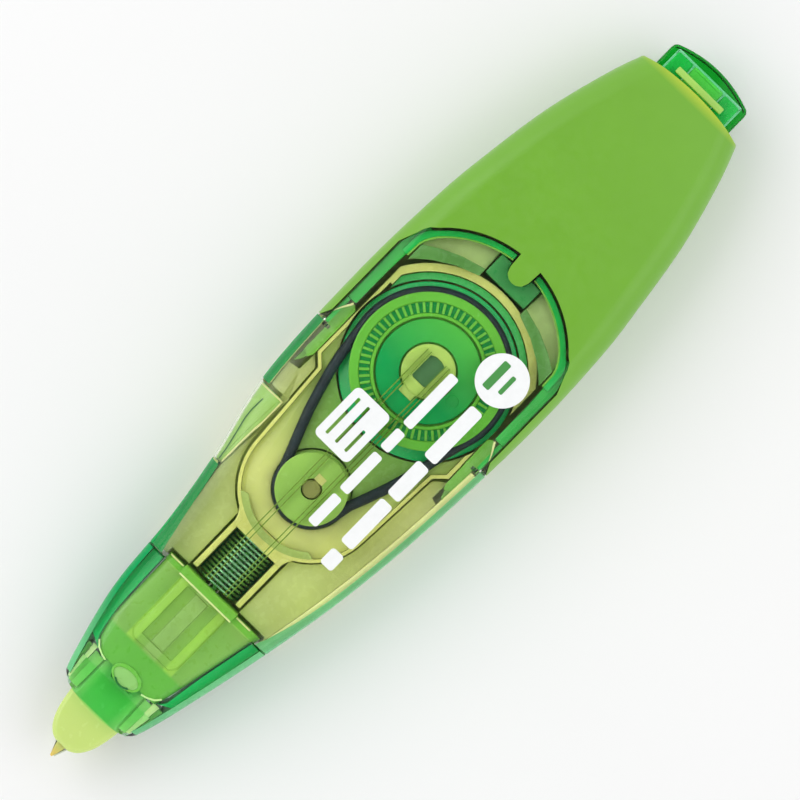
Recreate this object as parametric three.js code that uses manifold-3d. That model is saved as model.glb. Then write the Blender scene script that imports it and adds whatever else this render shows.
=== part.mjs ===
// A retractable, refillable correction tape roller, lying on its flat lower face.
// Millimetres. X runs from the tape tip (-) back to the knock button (+), Y across, Z up.
// Every station along the length is written as a distance back from the tape tip.
import * as THREE from "three";
import { mergeVertices } from "three/addons/utils/BufferGeometryUtils.js";
import Module from "manifold-3d";

const wasm = await Module();
wasm.setup();

// ---- driving dimensions ----
const LENGTH = 136; // tape tip to the face of the knock button
const HALF_DEPTH = 8; // half of the overall depth, and the height of the middle plane
const GAP = 0.3; // running clearance between neighbouring pieces
const TAPE_WIDTH = 4;
const CORNER = 3.5; // shoulder radius of the hull's cross-section
const CORNER_STEPS = 4;

// Hull: station, half-width on the +Y side, half-width on the -Y side, half-depth.
const HULL = [
  [8.8, 6.5, 6.1, 4.9],
  [13.6, 8.1, 7.7, 5.7],
  [24, 10.5, 10.2, 6.9],
  [36, 11.5, 12.7, 7.7],
  [47, 13.2, 14.5, 8],
  [61, 16.1, 15.9, 8],
  [80, 16.8, 16.8, 8],
  [95, 16.3, 16.4, 8],
  [104, 15.4, 15.4, 8],
  [115, 13.7, 13.7, 7.6],
  [125, 11.1, 11.1, 6.9],
  [131.2, 8.9, 8.9, 6.2],
];

// Where the outer pieces start and end.
const NOSE_FRONT = 8.8;
const NOSE_END = 31.65;
const SHELL_FRONT = NOSE_END + GAP;
const COVER_FRONT = 71.9;
const COVER_END = 131.2;
const SLEEVE_END = 104;
const BUTTON_END = LENGTH;

// Walls of the window shell, of its sleeve under the rear cover, and of the rear cover.
const SHELL_SIDE_WALL = 0.7;
const SHELL_FACE_WALL = 1.7;
const COVER_SIDE_WALL = 0.9;
const COVER_FACE_WALL = 0.8;
const SLEEVE_HALF_WIDTH = 15.3;
const SLEEVE_WALL = 0.7;
const REEL_ROOM = 13.6; // half-width left inside the sleeve's thick walls, beside the reel
const CATCH_END = 76;

// Window edge of the rear cover: the side arms are its bare side walls, up to where the arc begins.
const ARM_INNER_Y = 15.6;
const ARM_END = 87;
const WINDOW_HALF_WIDTH = 14.3;
const WINDOW_ARC_RADIUS = 17.5;
const WINDOW_END = 97.8;
const TONGUE_HALF_WIDTH = 1.9;
const TONGUE_FRONT = 93.8;

// Reels and belt drive: centres, then heights of the stack.
const SUPPLY = { s: 76.7, y: -0.3 };
const TAKEUP = { s: 53.2, y: -0.1 };
const SUPPLY_FLANGE_R = 12.8;
const SUPPLY_CORE_R = 7.3;
const FRESH_ROLL_R = 11.6;
const SUPPLY_PULLEY_R = 11.3;
const SUPPLY_POST_R = 1.9;
const TAKEUP_FLANGE_R = 6.2;
const TAKEUP_CORE_R = 2.6;
const USED_ROLL_R = 3.3;
const TAKEUP_PULLEY_R = 5.25;
const TAKEUP_POST_R = 1.2;
const SUPPLY_BELT_R = 11.1; // belt centreline round the supply pulley
const TAKEUP_BELT_R = 4.8; // belt centreline round the take-up pulley
const BELT_CORD_R = 0.82;
const BELT_Z = 11.95;
const TRAY_FLOOR = 3.6;
const TRAY_TOP = 4.7;
const RIM_TOP = 12.2;
const REEL_BOTTOM = 5;
const FLANGE_THICK = 0.7;
const REEL_TOP = 10.8;
const PULLEY_BOTTOM = 11.05;
const GROOVE_TOP = 12.95;
const PULLEY_TOP = 13.35;
const HUB_CAP_TOP = 13.6;

// Return spring, tip and guide bush.
const SPRING_FRONT = 33.5;
const SPRING_END = 42.7;
const SPRING_R = 3.2; // to the middle of the wire
const SPRING_WIRE_R = 0.22;
const SPRING_TURNS = 13;
const HEAD_END = 20;
const HEAD_HALF_WIDTH = 4.2;
const HEAD_HALF_DEPTH = 3.2;
const BUSH_FRONT = 15.6;
const BUSH_FLANGE_FRONT = 31.7;
const BUSH_END = 33.2;

// Knock mechanism.
const BUTTON_HALF_WIDTH = 7.2;
const BUTTON_HALF_DEPTH = 5;
const BUTTON_FRONT = 121;
const ROD_R = 2;
const YOKE_FRONT = 92.45;
const YOKE_END = 96;

// ---- geometry helpers ----
const x = (s) => s - LENGTH / 2;

// A closed three.js geometry as a solid; a profile drawn the other way round is turned to face out.
function solid(geometry) {
  const bare = geometry.index ? geometry.toNonIndexed() : geometry.clone();
  bare.deleteAttribute("normal");
  bare.deleteAttribute("uv");
  const merged = mergeVertices(bare, 1e-4);
  const triVerts = new Uint32Array(merged.index.array);
  const vertProperties = new Float32Array(merged.attributes.position.array);
  const made = new wasm.Manifold(new wasm.Mesh({ numProp: 3, vertProperties, triVerts }));
  if (made.volume() > 0) return made;
  for (let i = 0; i < triVerts.length; i += 3) {
    [triVerts[i + 1], triVerts[i + 2]] = [triVerts[i + 2], triVerts[i + 1]];
  }
  return new wasm.Manifold(new wasm.Mesh({ numProp: 3, vertProperties, triVerts }));
}

function geometryOf(made) {
  const mesh = made.getMesh();
  const geometry = new THREE.BufferGeometry();
  geometry.setAttribute("position", new THREE.BufferAttribute(new Float32Array(mesh.vertProperties), 3));
  geometry.setIndex(new THREE.BufferAttribute(new Uint32Array(mesh.triVerts), 1));
  geometry.computeVertexNormals();
  return geometry;
}

const join = (first, ...others) => others.reduce((sum, other) => sum.add(other), first);
const cut = (first, ...others) => others.reduce((rest, other) => rest.subtract(other), first);

// A box between two stations, two Y values and two heights.
function block(s0, s1, y0, y1, z0, z1) {
  const geometry = new THREE.BoxGeometry(s1 - s0, y1 - y0, z1 - z0);
  geometry.translate(x((s0 + s1) / 2), (y0 + y1) / 2, (z0 + z1) / 2);
  return solid(geometry);
}

// A box centred on the middle plane and on the long axis.
function centred(s0, s1, halfWidth, halfDepth) {
  return block(s0, s1, -halfWidth, halfWidth, HALF_DEPTH - halfDepth, HALF_DEPTH + halfDepth);
}

// An upright cylinder.
function post(centre, radius, z0, z1, sides = 24) {
  const geometry = new THREE.CylinderGeometry(radius, radius, z1 - z0, sides);
  geometry.rotateX(Math.PI / 2);
  geometry.translate(x(centre.s), centre.y, (z0 + z1) / 2);
  return solid(geometry);
}

// A cylinder lying along the long axis.
function rod(s0, s1, radius, sides = 20) {
  const geometry = new THREE.CylinderGeometry(radius, radius, s1 - s0, sides);
  geometry.rotateZ(Math.PI / 2);
  geometry.translate(x((s0 + s1) / 2), 0, HALF_DEPTH);
  return solid(geometry);
}

// A flat plate of a plan outline.
function plate(shape, z0, z1, curveSegments = 8) {
  const geometry = new THREE.ExtrudeGeometry(shape, { depth: z1 - z0, bevelEnabled: false, curveSegments });
  geometry.translate(0, 0, z0);
  return solid(geometry);
}

// A plan outline through points given as [station, y].
function outline(points) {
  return new THREE.Shape(points.map(([s, y]) => new THREE.Vector2(x(s), y)));
}

// A turned piece about an upright axis, from [radius, height] pairs that close on themselves.
function turned(centre, profile, sides) {
  const points = [...profile, profile[0]].map(([r, z]) => new THREE.Vector2(r, z));
  const geometry = new THREE.LatheGeometry(points, sides);
  geometry.rotateX(Math.PI / 2);
  geometry.scale(1, -1, 1);
  geometry.translate(x(centre.s), centre.y, 0);
  return solid(geometry);
}

// ---- the hull ----
const widthCurve = new THREE.CatmullRomCurve3(
  HULL.map(([s, left, right]) => new THREE.Vector3(s, left, right)),
  false,
  "catmullrom",
);
const depthCurve = new THREE.CatmullRomCurve3(
  HULL.map(([s, , , depth]) => new THREE.Vector3(s, depth, 0)),
  false,
  "catmullrom",
);

// Half-widths and half-depth of the hull at a station, held constant past its ends.
function hullAt(s) {
  let low = 0;
  let high = 1;
  for (let step = 0; step < 24; step++) {
    const middle = (low + high) / 2;
    if (widthCurve.getPoint(middle).x < s) low = middle;
    else high = middle;
  }
  const sides = widthCurve.getPoint(high);
  const depth = Math.min(HALF_DEPTH, depthCurve.getPoint(high).y);
  return { left: sides.y, right: sides.z, depth };
}

// A rounded cross-section, as [y, z] pairs anticlockwise from the +Y side.
function ring(left, right, depth, corner) {
  const r = Math.min(corner, depth - 0.1, (left + right) / 2 - 0.1);
  const centres = [
    [left - r, depth - r],
    [r - right, depth - r],
    [r - right, r - depth],
    [left - r, r - depth],
  ];
  return centres.flatMap(([y, z], quarter) =>
    Array.from({ length: CORNER_STEPS + 1 }, (_, step) => {
      const angle = (Math.PI / 2) * (quarter + step / CORNER_STEPS);
      return [y + r * Math.cos(angle), HALF_DEPTH + z + r * Math.sin(angle)];
    }),
  );
}

// A cylinder whose rings are moved onto the cross-sections at the given stations.
function loft(stations, section) {
  const rings = stations.map(section);
  const count = rings[0].length;
  const rows = stations.length - 1;
  const geometry = new THREE.CylinderGeometry(1, 1, 1, count, rows);
  const position = geometry.attributes.position;
  for (let i = 0; i < position.count; i++) {
    const row = Math.round((position.getY(i) + 0.5) * rows);
    const points = rings[row];
    const onAxis = Math.hypot(position.getX(i), position.getZ(i)) < 0.5;
    const turn = Math.atan2(position.getX(i), position.getZ(i)) / (2 * Math.PI);
    const place = (Math.round(turn * count) + count) % count;
    const middleY = (points[0][0] + points[count / 2][0]) / 2;
    const [y, z] = onAxis ? [middleY, HALF_DEPTH] : points[place];
    position.setXYZ(i, x(stations[row]), y, z);
  }
  return solid(geometry);
}

function steps(from, to, count) {
  return Array.from({ length: count + 1 }, (_, i) => from + ((to - from) * i) / count);
}

// The hull between two stations, drawn in by a side inset and a face inset.
function hull(from, to, count, sideInset = 0, faceInset = 0, widest = Infinity) {
  return loft(steps(from, to, count), (s) => {
    const { left, right, depth } = hullAt(s);
    const corner = CORNER - (sideInset + faceInset) / 2;
    return ring(
      Math.min(left - sideInset, widest),
      Math.min(right - sideInset, widest),
      depth - faceInset,
      corner,
    );
  });
}

// ---- casing ----

// Inside of the nose cap behind its thin front: the guide bush sits in it.
function noseChamber(s, inset) {
  const { left, right, depth } = hullAt(s);
  return { left: Math.min(left - 1.8, 8.2) - inset, right: right - 2.3 - inset, depth: depth - 0.85 - inset };
}

function makeNoseCap() {
  const outside = hull(NOSE_FRONT, NOSE_END, 8);
  const frontChamber = loft(steps(NOSE_FRONT - 1, 16, 4), (s) => {
    const { left, right } = hullAt(s);
    return ring(left - 1.1, right - 1.1, HEAD_HALF_DEPTH + 0.35, 0.6);
  });
  const bushChamber = loft(steps(BUSH_FRONT - GAP, NOSE_END + 1, 5), (s) => {
    const { left, right, depth } = noseChamber(s, 0);
    return ring(left, right, depth, 1.2);
  });
  return cut(outside, frontChamber, bushChamber);
}

function makeGuideBush() {
  const baseHalfDepth = 4.2;
  const body = loft(steps(BUSH_FRONT, BUSH_END - GAP, 8), (s) => {
    const room = noseChamber(s, GAP);
    const mouth = 5.5 + (s - BUSH_FRONT);
    return ring(Math.min(room.left, mouth), Math.min(room.right, mouth), baseHalfDepth, 1);
  });
  const housing = centred(20.3, BUSH_FLANGE_FRONT, 4.4, 4.75);
  const flange = centred(BUSH_FLANGE_FRONT, BUSH_END, 5.1, 5.4);
  const headBore = centred(BUSH_FRONT - 1, 31.4, 5.1, HEAD_HALF_DEPTH + GAP);
  const neckSlot = centred(31, BUSH_END + 1, 1.5, 2.8);
  return cut(join(body, housing, flange), headBore, neckSlot);
}

// Plan of the opening between the rear cover's side arms, drawn in by an inset.
function windowOutline(inset) {
  const side = WINDOW_HALF_WIDTH - inset;
  const arm = ARM_INNER_Y - inset;
  const end = WINDOW_END - inset;
  const tongue = TONGUE_HALF_WIDTH + inset;
  const arcCentre = end - WINDOW_ARC_RADIUS;
  const cornerAngle = Math.asin((side - 1.4) / WINDOW_ARC_RADIUS);
  const tongueAngle = Math.asin(tongue / WINDOW_ARC_RADIUS);
  const arc = (from, to) =>
    steps(from, to, 6).map((angle) => [
      arcCentre + WINDOW_ARC_RADIUS * Math.cos(angle),
      WINDOW_ARC_RADIUS * Math.sin(angle),
    ]);
  const front = NOSE_END - 1;
  return outline([
    [front, -20],
    [COVER_FRONT - inset, -20],
    [COVER_FRONT - inset, -16.4],
    [COVER_FRONT + 1.6 - inset, -arm],
    [ARM_END - inset, -arm],
    [arcCentre + WINDOW_ARC_RADIUS * Math.cos(cornerAngle) - 1.6, -side],
    ...arc(-cornerAngle, -tongueAngle),
    [TONGUE_FRONT - inset + 1, -tongue],
    [TONGUE_FRONT - inset, -tongue * 0.45],
    [TONGUE_FRONT - inset, tongue * 0.45],
    [TONGUE_FRONT - inset + 1, tongue],
    ...arc(tongueAngle, cornerAngle),
    [arcCentre + WINDOW_ARC_RADIUS * Math.cos(cornerAngle) - 1.6, side],
    [ARM_END - inset, arm],
    [COVER_FRONT + 1.6 - inset, arm],
    [COVER_FRONT - inset, 16.4],
    [COVER_FRONT - inset, 20],
    [front, 20],
  ]);
}

// Release button in the +Y side wall, and the pocket it slides in.
const RELEASE_FRONT = 47;
const RELEASE_END = 59.3;
const RELEASE_INNER_Y = 12;
const RELEASE_HALF_DEPTH = 3.2;
const releasePocket = block(
  RELEASE_FRONT - GAP,
  RELEASE_END + GAP,
  RELEASE_INNER_Y - 2,
  20,
  HALF_DEPTH - RELEASE_HALF_DEPTH - GAP,
  HALF_DEPTH + RELEASE_HALF_DEPTH + GAP,
);

function makeReleaseButton() {
  const room = block(
    RELEASE_FRONT,
    RELEASE_END,
    RELEASE_INNER_Y,
    20,
    HALF_DEPTH - RELEASE_HALF_DEPTH,
    HALF_DEPTH + RELEASE_HALF_DEPTH,
  );
  return hull(RELEASE_FRONT - 1, RELEASE_END + 1, 6).intersect(room);
}

// The clear middle of the casing: flush inside the window, stepped down to a sleeve under the cover.
function makeWindowShell() {
  const flush = hull(SHELL_FRONT, SLEEVE_END, 14).intersect(plate(windowOutline(GAP), -1, 17));
  const sleeve = hull(COVER_FRONT - 1, SLEEVE_END, 6, 1.2, COVER_FACE_WALL + GAP, SLEEVE_HALF_WIDTH);
  const frontChamber = hull(SHELL_FRONT - 1, 71, 8, SHELL_SIDE_WALL, SHELL_FACE_WALL);
  const catchRoom = SLEEVE_HALF_WIDTH - SLEEVE_WALL;
  const catchChamber = hull(70.5, CATCH_END + GAP, 2, 1.2 + SLEEVE_WALL, SHELL_FACE_WALL, catchRoom);
  const reelChamber = hull(75, SLEEVE_END + 1, 6, 1.2 + SLEEVE_WALL, SHELL_FACE_WALL, REEL_ROOM);
  return cut(join(flush, sleeve), frontChamber, catchChamber, reelChamber, releasePocket);
}

const windowShell = makeWindowShell();

function makeUpperShell() {
  const half = block(SHELL_FRONT - 1, SLEEVE_END + 1, -20, 20, HALF_DEPTH + GAP / 2, 20);
  const railEnd = 79;
  const railFront = 33.9;
  const railLow = 13.9;
  const railTop = 14.5;
  const rails = [
    block(railFront, railEnd, 1.25, 1.95, railLow, railTop),
    block(railFront, railEnd, -2.2, -1.6, railLow, railTop),
  ];
  return join(windowShell.intersect(half), ...rails);
}

function makeLowerShell() {
  return windowShell.intersect(block(SHELL_FRONT - 1, SLEEVE_END + 1, -20, 20, -20, HALF_DEPTH - GAP / 2));
}

// A strip along one side wall of the window shell; side is 1 for +Y and -1 for -Y.
function sideStrip(side, from, to) {
  const edge = (s, inset) => {
    const { left, right } = hullAt(s);
    return [s, side * ((side > 0 ? left : right) - inset)];
  };
  const stations = steps(from, to, 6);
  const outer = stations.map((s) => edge(s, SHELL_SIDE_WALL + GAP));
  const inner = stations.map((s) => edge(s, SHELL_SIDE_WALL + GAP + 1.2)).reverse();
  return plate(outline([...outer, ...inner]), HALF_DEPTH - 3.5, HALF_DEPTH + 3.5);
}

// The leaf catch at the end of a side strip, which the rear cover clicks over.
function leafCatch(side) {
  const points = [
    [64.5, 14.3],
    [66.5, 13.3],
    [74, 13.3],
    [CATCH_END, 13.9],
    [CATCH_END, 14.3],
  ];
  return plate(outline(points.map(([s, y]) => [s, side * y])), HALF_DEPTH - 2.5, HALF_DEPTH + 2.5);
}

// ---- rear cover ----
const COVER_END_HALF_WIDTH = 8.6; // where the gently rounded end turns into the side walls
const COVER_END_RADIUS = 40;
const roundedEnd = (() => {
  const turn = Math.asin(COVER_END_HALF_WIDTH / COVER_END_RADIUS);
  const centre = COVER_END - COVER_END_RADIUS;
  const end = steps(-turn, turn, 8).map((angle) => [
    centre + COVER_END_RADIUS * Math.cos(angle),
    COVER_END_RADIUS * Math.sin(angle),
  ]);
  const right = [
    [60, -20],
    [COVER_END - 2, -20],
    [COVER_END - 2, -9.9],
    [COVER_END - 1.4, -9.6],
    [COVER_END - 1, -9.1],
  ];
  return plate(outline([...right, ...end, ...right.map(([s, y]) => [s, -y]).reverse()]), -1, 17);
})();

function makeRearCover() {
  const outside = hull(COVER_FRONT, COVER_END, 12).intersect(roundedEnd);
  const inside = hull(COVER_FRONT - 2, COVER_END - 1.3, 10, COVER_SIDE_WALL, COVER_FACE_WALL);
  const buttonHole = centred(128, 133, BUTTON_HALF_WIDTH + GAP, BUTTON_HALF_DEPTH + GAP);
  return cut(outside, inside, plate(windowOutline(0), -1, 17), buttonHole);
}

// The lip over or under the button, where it comes out of the cover; side is 1 for the upper one.
function makeButtonLip(side) {
  const near = HALF_DEPTH + side * (BUTTON_HALF_DEPTH + GAP);
  const far = near + side * 0.6;
  return block(COVER_END + GAP, COVER_END + 1.3, -4.4, 4.4, Math.min(near, far), Math.max(near, far));
}

// Guide tube of the knock mechanism, carried by two wings from the cover's side walls.
const CAM_FRONT = 106;
const CAM_END = 119.5;
function makeCamSleeve() {
  const tube = rod(CAM_FRONT, CAM_END, 5.6);
  const wings = centred(109, 111, 12.5, 1.5);
  return cut(join(tube, wings), rod(CAM_FRONT - 1, CAM_END + 1, 4.6));
}

// ---- knock mechanism ----
function makePushRod() {
  const yoke = outline([
    [YOKE_FRONT, -3.8],
    [YOKE_END, -3.8],
    [YOKE_END, -1.9],
    [94.6, -1.6],
    [94.2, -0.8],
    [94.2, 0.8],
    [94.6, 1.6],
    [YOKE_END, 1.9],
    [YOKE_END, 3.8],
    [YOKE_FRONT, 3.8],
  ]);
  return join(plate(yoke, TRAY_TOP, HUB_CAP_TOP), rod(93.2, 124.5, ROD_R));
}

function makeCamRotor() {
  const fins = [0, 1].map((quarter) => {
    const half = quarter ? [0.5, 4.2] : [4.2, 0.5];
    return centred(108, 113, half[0], half[1]);
  });
  return cut(join(rod(108, 113, 3.2), ...fins), rod(107, 114, ROD_R + GAP));
}

function makeKnockCore() {
  return centred(124.8, 134.3, 2.8, 2.8);
}

function makeKnockButton() {
  const corner = BUTTON_END - 1.4;
  const plan = new THREE.Shape();
  plan.moveTo(x(BUTTON_FRONT), -BUTTON_HALF_WIDTH);
  plan.lineTo(x(corner - 0.6), -BUTTON_HALF_WIDTH);
  plan.lineTo(x(corner), -BUTTON_HALF_WIDTH + 0.6);
  plan.quadraticCurveTo(x(BUTTON_END + 1.4), 0, x(corner), BUTTON_HALF_WIDTH - 0.6);
  plan.lineTo(x(corner - 0.6), BUTTON_HALF_WIDTH);
  plan.lineTo(x(BUTTON_FRONT), BUTTON_HALF_WIDTH);
  const outside = plate(plan, HALF_DEPTH - BUTTON_HALF_DEPTH, HALF_DEPTH + BUTTON_HALF_DEPTH);
  const hollow = centred(BUTTON_FRONT - 1, 134.6, BUTTON_HALF_WIDTH - 1, BUTTON_HALF_DEPTH - 1);
  return cut(outside, hollow);
}

// ---- cartridge ----

// Plan of the cartridge: a round small end, a round big end cut off at the sides, and straight flanks.
function trayOutline(inset) {
  const bigR = 15.4 - 1.3 * inset;
  const smallR = 10.5 - inset;
  const flank = 12.9 - inset;
  const jog = 0.42 * inset;
  const shape = new THREE.Shape();
  shape.absarc(
    x(SUPPLY.s),
    SUPPLY.y,
    bigR,
    -Math.asin((flank + SUPPLY.y) / bigR),
    Math.asin((flank - SUPPLY.y) / bigR),
    false,
  );
  shape.lineTo(x(67.8 + jog), flank);
  shape.lineTo(x(66.2 + jog), 11.3 - inset);
  shape.absarc(x(TAKEUP.s), TAKEUP.y, smallR, Math.PI * 0.53, Math.PI * 1.47, false);
  shape.lineTo(x(66.2 + jog), inset - 11.3);
  shape.lineTo(x(67.8 + jog), -flank);
  return shape;
}

const GUIDE_PIN = { s: 47.3, y: 5 };
const GUIDE_PIN_R = 0.8;
const CAGE_FRONT = 33.9;
const CAGE_END = 43.2;
const CAGE_HALF_WIDTH = 4.6;
const CAGE_TOP = 11.6;
const LID_BOTTOM = 10.2;
const LID_TOP = 10.95;

function makeCartridgeTray() {
  const wall = 0.9;
  const floor = plate(trayOutline(0), TRAY_FLOOR, TRAY_TOP);
  const reelRoom = post(SUPPLY, SUPPLY_FLANGE_R + GAP, TRAY_TOP, RIM_TOP + 1, 48);
  const rim = cut(
    plate(trayOutline(0), TRAY_FLOOR, RIM_TOP),
    plate(trayOutline(wall), TRAY_FLOOR - 1, RIM_TOP + 1),
    reelRoom,
  );
  const cageFloor = block(CAGE_FRONT, CAGE_END + 1, -CAGE_HALF_WIDTH, CAGE_HALF_WIDTH, 3.45, 4.2);
  const cageWalls = [1, -1].map((side) => {
    const edges = [side * 3.75, side * CAGE_HALF_WIDTH].sort((a, b) => a - b);
    return block(CAGE_FRONT, CAGE_END + 0.6, edges[0], edges[1], 3.8, CAGE_TOP);
  });
  const shoulder = block(CAGE_END, CAGE_END + 1.2, -CAGE_HALF_WIDTH, CAGE_HALF_WIDTH, 3.8, CAGE_TOP);
  const mouth = centred(CAGE_END - 1, CAGE_END + 3, 2.2, 2.7);
  return join(
    cut(join(floor, rim, cageFloor, shoulder), mouth),
    ...cageWalls,
    post(SUPPLY, SUPPLY_POST_R, TRAY_FLOOR + 0.5, 12.3),
    post(TAKEUP, TAKEUP_POST_R, TRAY_FLOOR + 0.5, 13, 16),
    post(GUIDE_PIN, GUIDE_PIN_R, TRAY_FLOOR + 0.5, LID_BOTTOM - GAP, 12),
  );
}

// The lid lies over the tape and under the belt, and is open round both reels.
function makeCartridgeLid() {
  return cut(
    plate(trayOutline(1.2), LID_BOTTOM, LID_TOP),
    post(SUPPLY, SUPPLY_FLANGE_R + GAP, LID_BOTTOM - 1, LID_TOP + 1, 48),
    post(TAKEUP, TAKEUP_FLANGE_R + GAP, LID_BOTTOM - 1, LID_TOP + 1, 32),
    block(30, CAGE_END + 1.5, -20, 20, LID_BOTTOM - 1, LID_TOP + 1),
    block(SUPPLY.s, 99, -20, 20, LID_BOTTOM - 1, LID_TOP + 1),
  );
}

// The spindle's head, with the rounded key slot in it.
function makeHubCap() {
  const head = post(SUPPLY, 3.9, 12.6, HUB_CAP_TOP, 32);
  const slot = centred(SUPPLY.s - 2.1, SUPPLY.s + 2.3, 1.4, 20).intersect(
    post(SUPPLY, 2.5, 13, HUB_CAP_TOP + 1, 24),
  );
  return cut(head, slot);
}

// Two domed cheeks guide the tape's edges; a web between them becomes the neck back to the cartridge.
function makeTipHolder() {
  const cheek = new THREE.Shape();
  cheek.moveTo(x(2.2), -1.2);
  cheek.quadraticCurveTo(x(3), -4, x(9), -4.6);
  cheek.lineTo(x(9.6), -HEAD_HALF_WIDTH);
  cheek.lineTo(x(HEAD_END), -HEAD_HALF_WIDTH);
  cheek.lineTo(x(HEAD_END), HEAD_HALF_WIDTH);
  cheek.lineTo(x(9.6), HEAD_HALF_WIDTH);
  cheek.lineTo(x(9), 4.6);
  cheek.quadraticCurveTo(x(3), 4, x(2.2), 1.2);
  const low = HALF_DEPTH - HEAD_HALF_DEPTH;
  const high = HALF_DEPTH + HEAD_HALF_DEPTH;
  const thick = 0.9;
  const dimple = post({ s: 15.5, y: 0 }, 2.3, high - 0.35, high + 1, 20);
  const narrow = centred(14.2, 16.8, 5, 20);
  return join(
    plate(cheek, low, low + thick),
    cut(plate(cheek, high - thick, high), dimple.intersect(narrow)),
    centred(7, HEAD_END, 0.3, HEAD_HALF_DEPTH - 0.2),
    centred(HEAD_END - 1, CAGE_END + 1.2, 0.3, 2.4),
    block(9.8, HEAD_END, 3.3, HEAD_HALF_WIDTH, low + 0.2, high - 0.2),
    block(9.8, HEAD_END, -HEAD_HALF_WIDTH, -3.3, low + 0.2, high - 0.2),
  );
}

function makeTipBlade() {
  const wedge = outline([
    [0, -0.15],
    [2, -0.75],
    [6.6, -0.3],
    [6.6, 0.3],
    [2, 0.75],
    [0, 0.15],
  ]);
  return plate(wedge, HALF_DEPTH - TAPE_WIDTH / 2, HALF_DEPTH + TAPE_WIDTH / 2);
}

// A strip of tape on edge, along points given as [station, y].
function tapeRun(points) {
  const half = 0.12;
  const corners = points.map(([s, y]) => new THREE.Vector2(x(s), y));
  const side = (sign) =>
    corners.map((corner, i) => {
      const before = corners[Math.max(i - 1, 0)];
      const after = corners[Math.min(i + 1, corners.length - 1)];
      const along = after.clone().sub(before).normalize();
      return new THREE.Vector2(corner.x - sign * half * along.y, corner.y + sign * half * along.x);
    });
  const shape = new THREE.Shape([...side(1), ...side(-1).reverse()]);
  return plate(shape, HALF_DEPTH - TAPE_WIDTH / 2, HALF_DEPTH + TAPE_WIDTH / 2);
}

// From the top of the fresh roll over the guide pin, along the neck and out to the tip.
const FEED_ROUTE = [
  [76.4, 11.65],
  [74.6, 11.45],
  [47.3, 6.12],
  [46.6, 5.85],
  [46, 5.2],
  [44.4, 1.5],
  [43.4, 0.8],
  [20, 0.72],
  [7, 0.72],
  [2.1, 1.02],
  [0.3, 0.36],
];

// From the tip back along the other side of the neck to the underside of the used roll.
const RETURN_ROUTE = [
  [0.3, -0.36],
  [2.1, -1.02],
  [7, -0.72],
  [20, -0.72],
  [43.4, -0.75],
  [44.6, -0.95],
  [52, -3.5],
  [53.2, -3.75],
];

// ---- reels and belt drive ----
function makeSupplyReel() {
  const profile = [
    [SUPPLY_POST_R + GAP, REEL_BOTTOM],
    [SUPPLY_FLANGE_R, REEL_BOTTOM],
    [SUPPLY_FLANGE_R, REEL_BOTTOM + FLANGE_THICK],
    [SUPPLY_CORE_R, REEL_BOTTOM + FLANGE_THICK],
    [SUPPLY_CORE_R, REEL_TOP - 0.5],
    [SUPPLY_FLANGE_R, REEL_TOP - 0.5],
    [SUPPLY_FLANGE_R, REEL_TOP],
    [SUPPLY_POST_R + GAP, REEL_TOP],
  ];
  return turned(SUPPLY, profile, 40);
}

function makeTakeupReel() {
  const profile = [
    [TAKEUP_POST_R + GAP, REEL_BOTTOM],
    [TAKEUP_FLANGE_R, REEL_BOTTOM],
    [TAKEUP_FLANGE_R, REEL_BOTTOM + FLANGE_THICK],
    [TAKEUP_CORE_R, REEL_BOTTOM + FLANGE_THICK],
    [TAKEUP_CORE_R, REEL_TOP - 0.5],
    [TAKEUP_FLANGE_R - 0.6, REEL_TOP - 0.5],
    [TAKEUP_FLANGE_R - 0.6, REEL_TOP],
    [TAKEUP_POST_R + GAP, REEL_TOP],
  ];
  return turned(TAKEUP, profile, 28);
}

// A wound roll of tape on a core.
function tapeRoll(centre, innerR, outerR, sides) {
  const low = HALF_DEPTH - TAPE_WIDTH / 2;
  const high = HALF_DEPTH + TAPE_WIDTH / 2;
  const profile = [
    [innerR, low],
    [outerR, low],
    [outerR, high],
    [innerR, high],
  ];
  return turned(centre, profile, sides);
}

const CLUTCH_R = 7.5;
function makeSupplyPulley() {
  const groove = SUPPLY_BELT_R - BELT_CORD_R - GAP;
  const profile = [
    [SUPPLY_POST_R + GAP, PULLEY_BOTTOM],
    [groove, PULLEY_BOTTOM],
    [groove, GROOVE_TOP],
    [SUPPLY_PULLEY_R, GROOVE_TOP],
    [SUPPLY_PULLEY_R, PULLEY_TOP],
    [9.9, PULLEY_TOP],
    [9.9, PULLEY_TOP - 0.3],
    [8.3, PULLEY_TOP - 0.3],
    [8.3, PULLEY_TOP],
    [CLUTCH_R + GAP, PULLEY_TOP],
    [CLUTCH_R + GAP, 12.2],
    [SUPPLY_POST_R + GAP, 12.2],
  ];
  return turned(SUPPLY, profile, 40);
}

function makeClutchDisc() {
  const profile = [
    [4.2, 12.5],
    [CLUTCH_R, 12.5],
    [CLUTCH_R, 13.1],
    [4.2, 13.1],
  ];
  return turned(SUPPLY, profile, 40);
}

function makeTakeupPulley() {
  const groove = TAKEUP_BELT_R - BELT_CORD_R - GAP;
  const profile = [
    [TAKEUP_POST_R + GAP, PULLEY_BOTTOM],
    [groove, PULLEY_BOTTOM],
    [groove, GROOVE_TOP],
    [TAKEUP_PULLEY_R, GROOVE_TOP],
    [TAKEUP_PULLEY_R, PULLEY_TOP],
    [TAKEUP_POST_R + GAP, PULLEY_TOP],
  ];
  return turned(TAKEUP, profile, 28);
}

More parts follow.
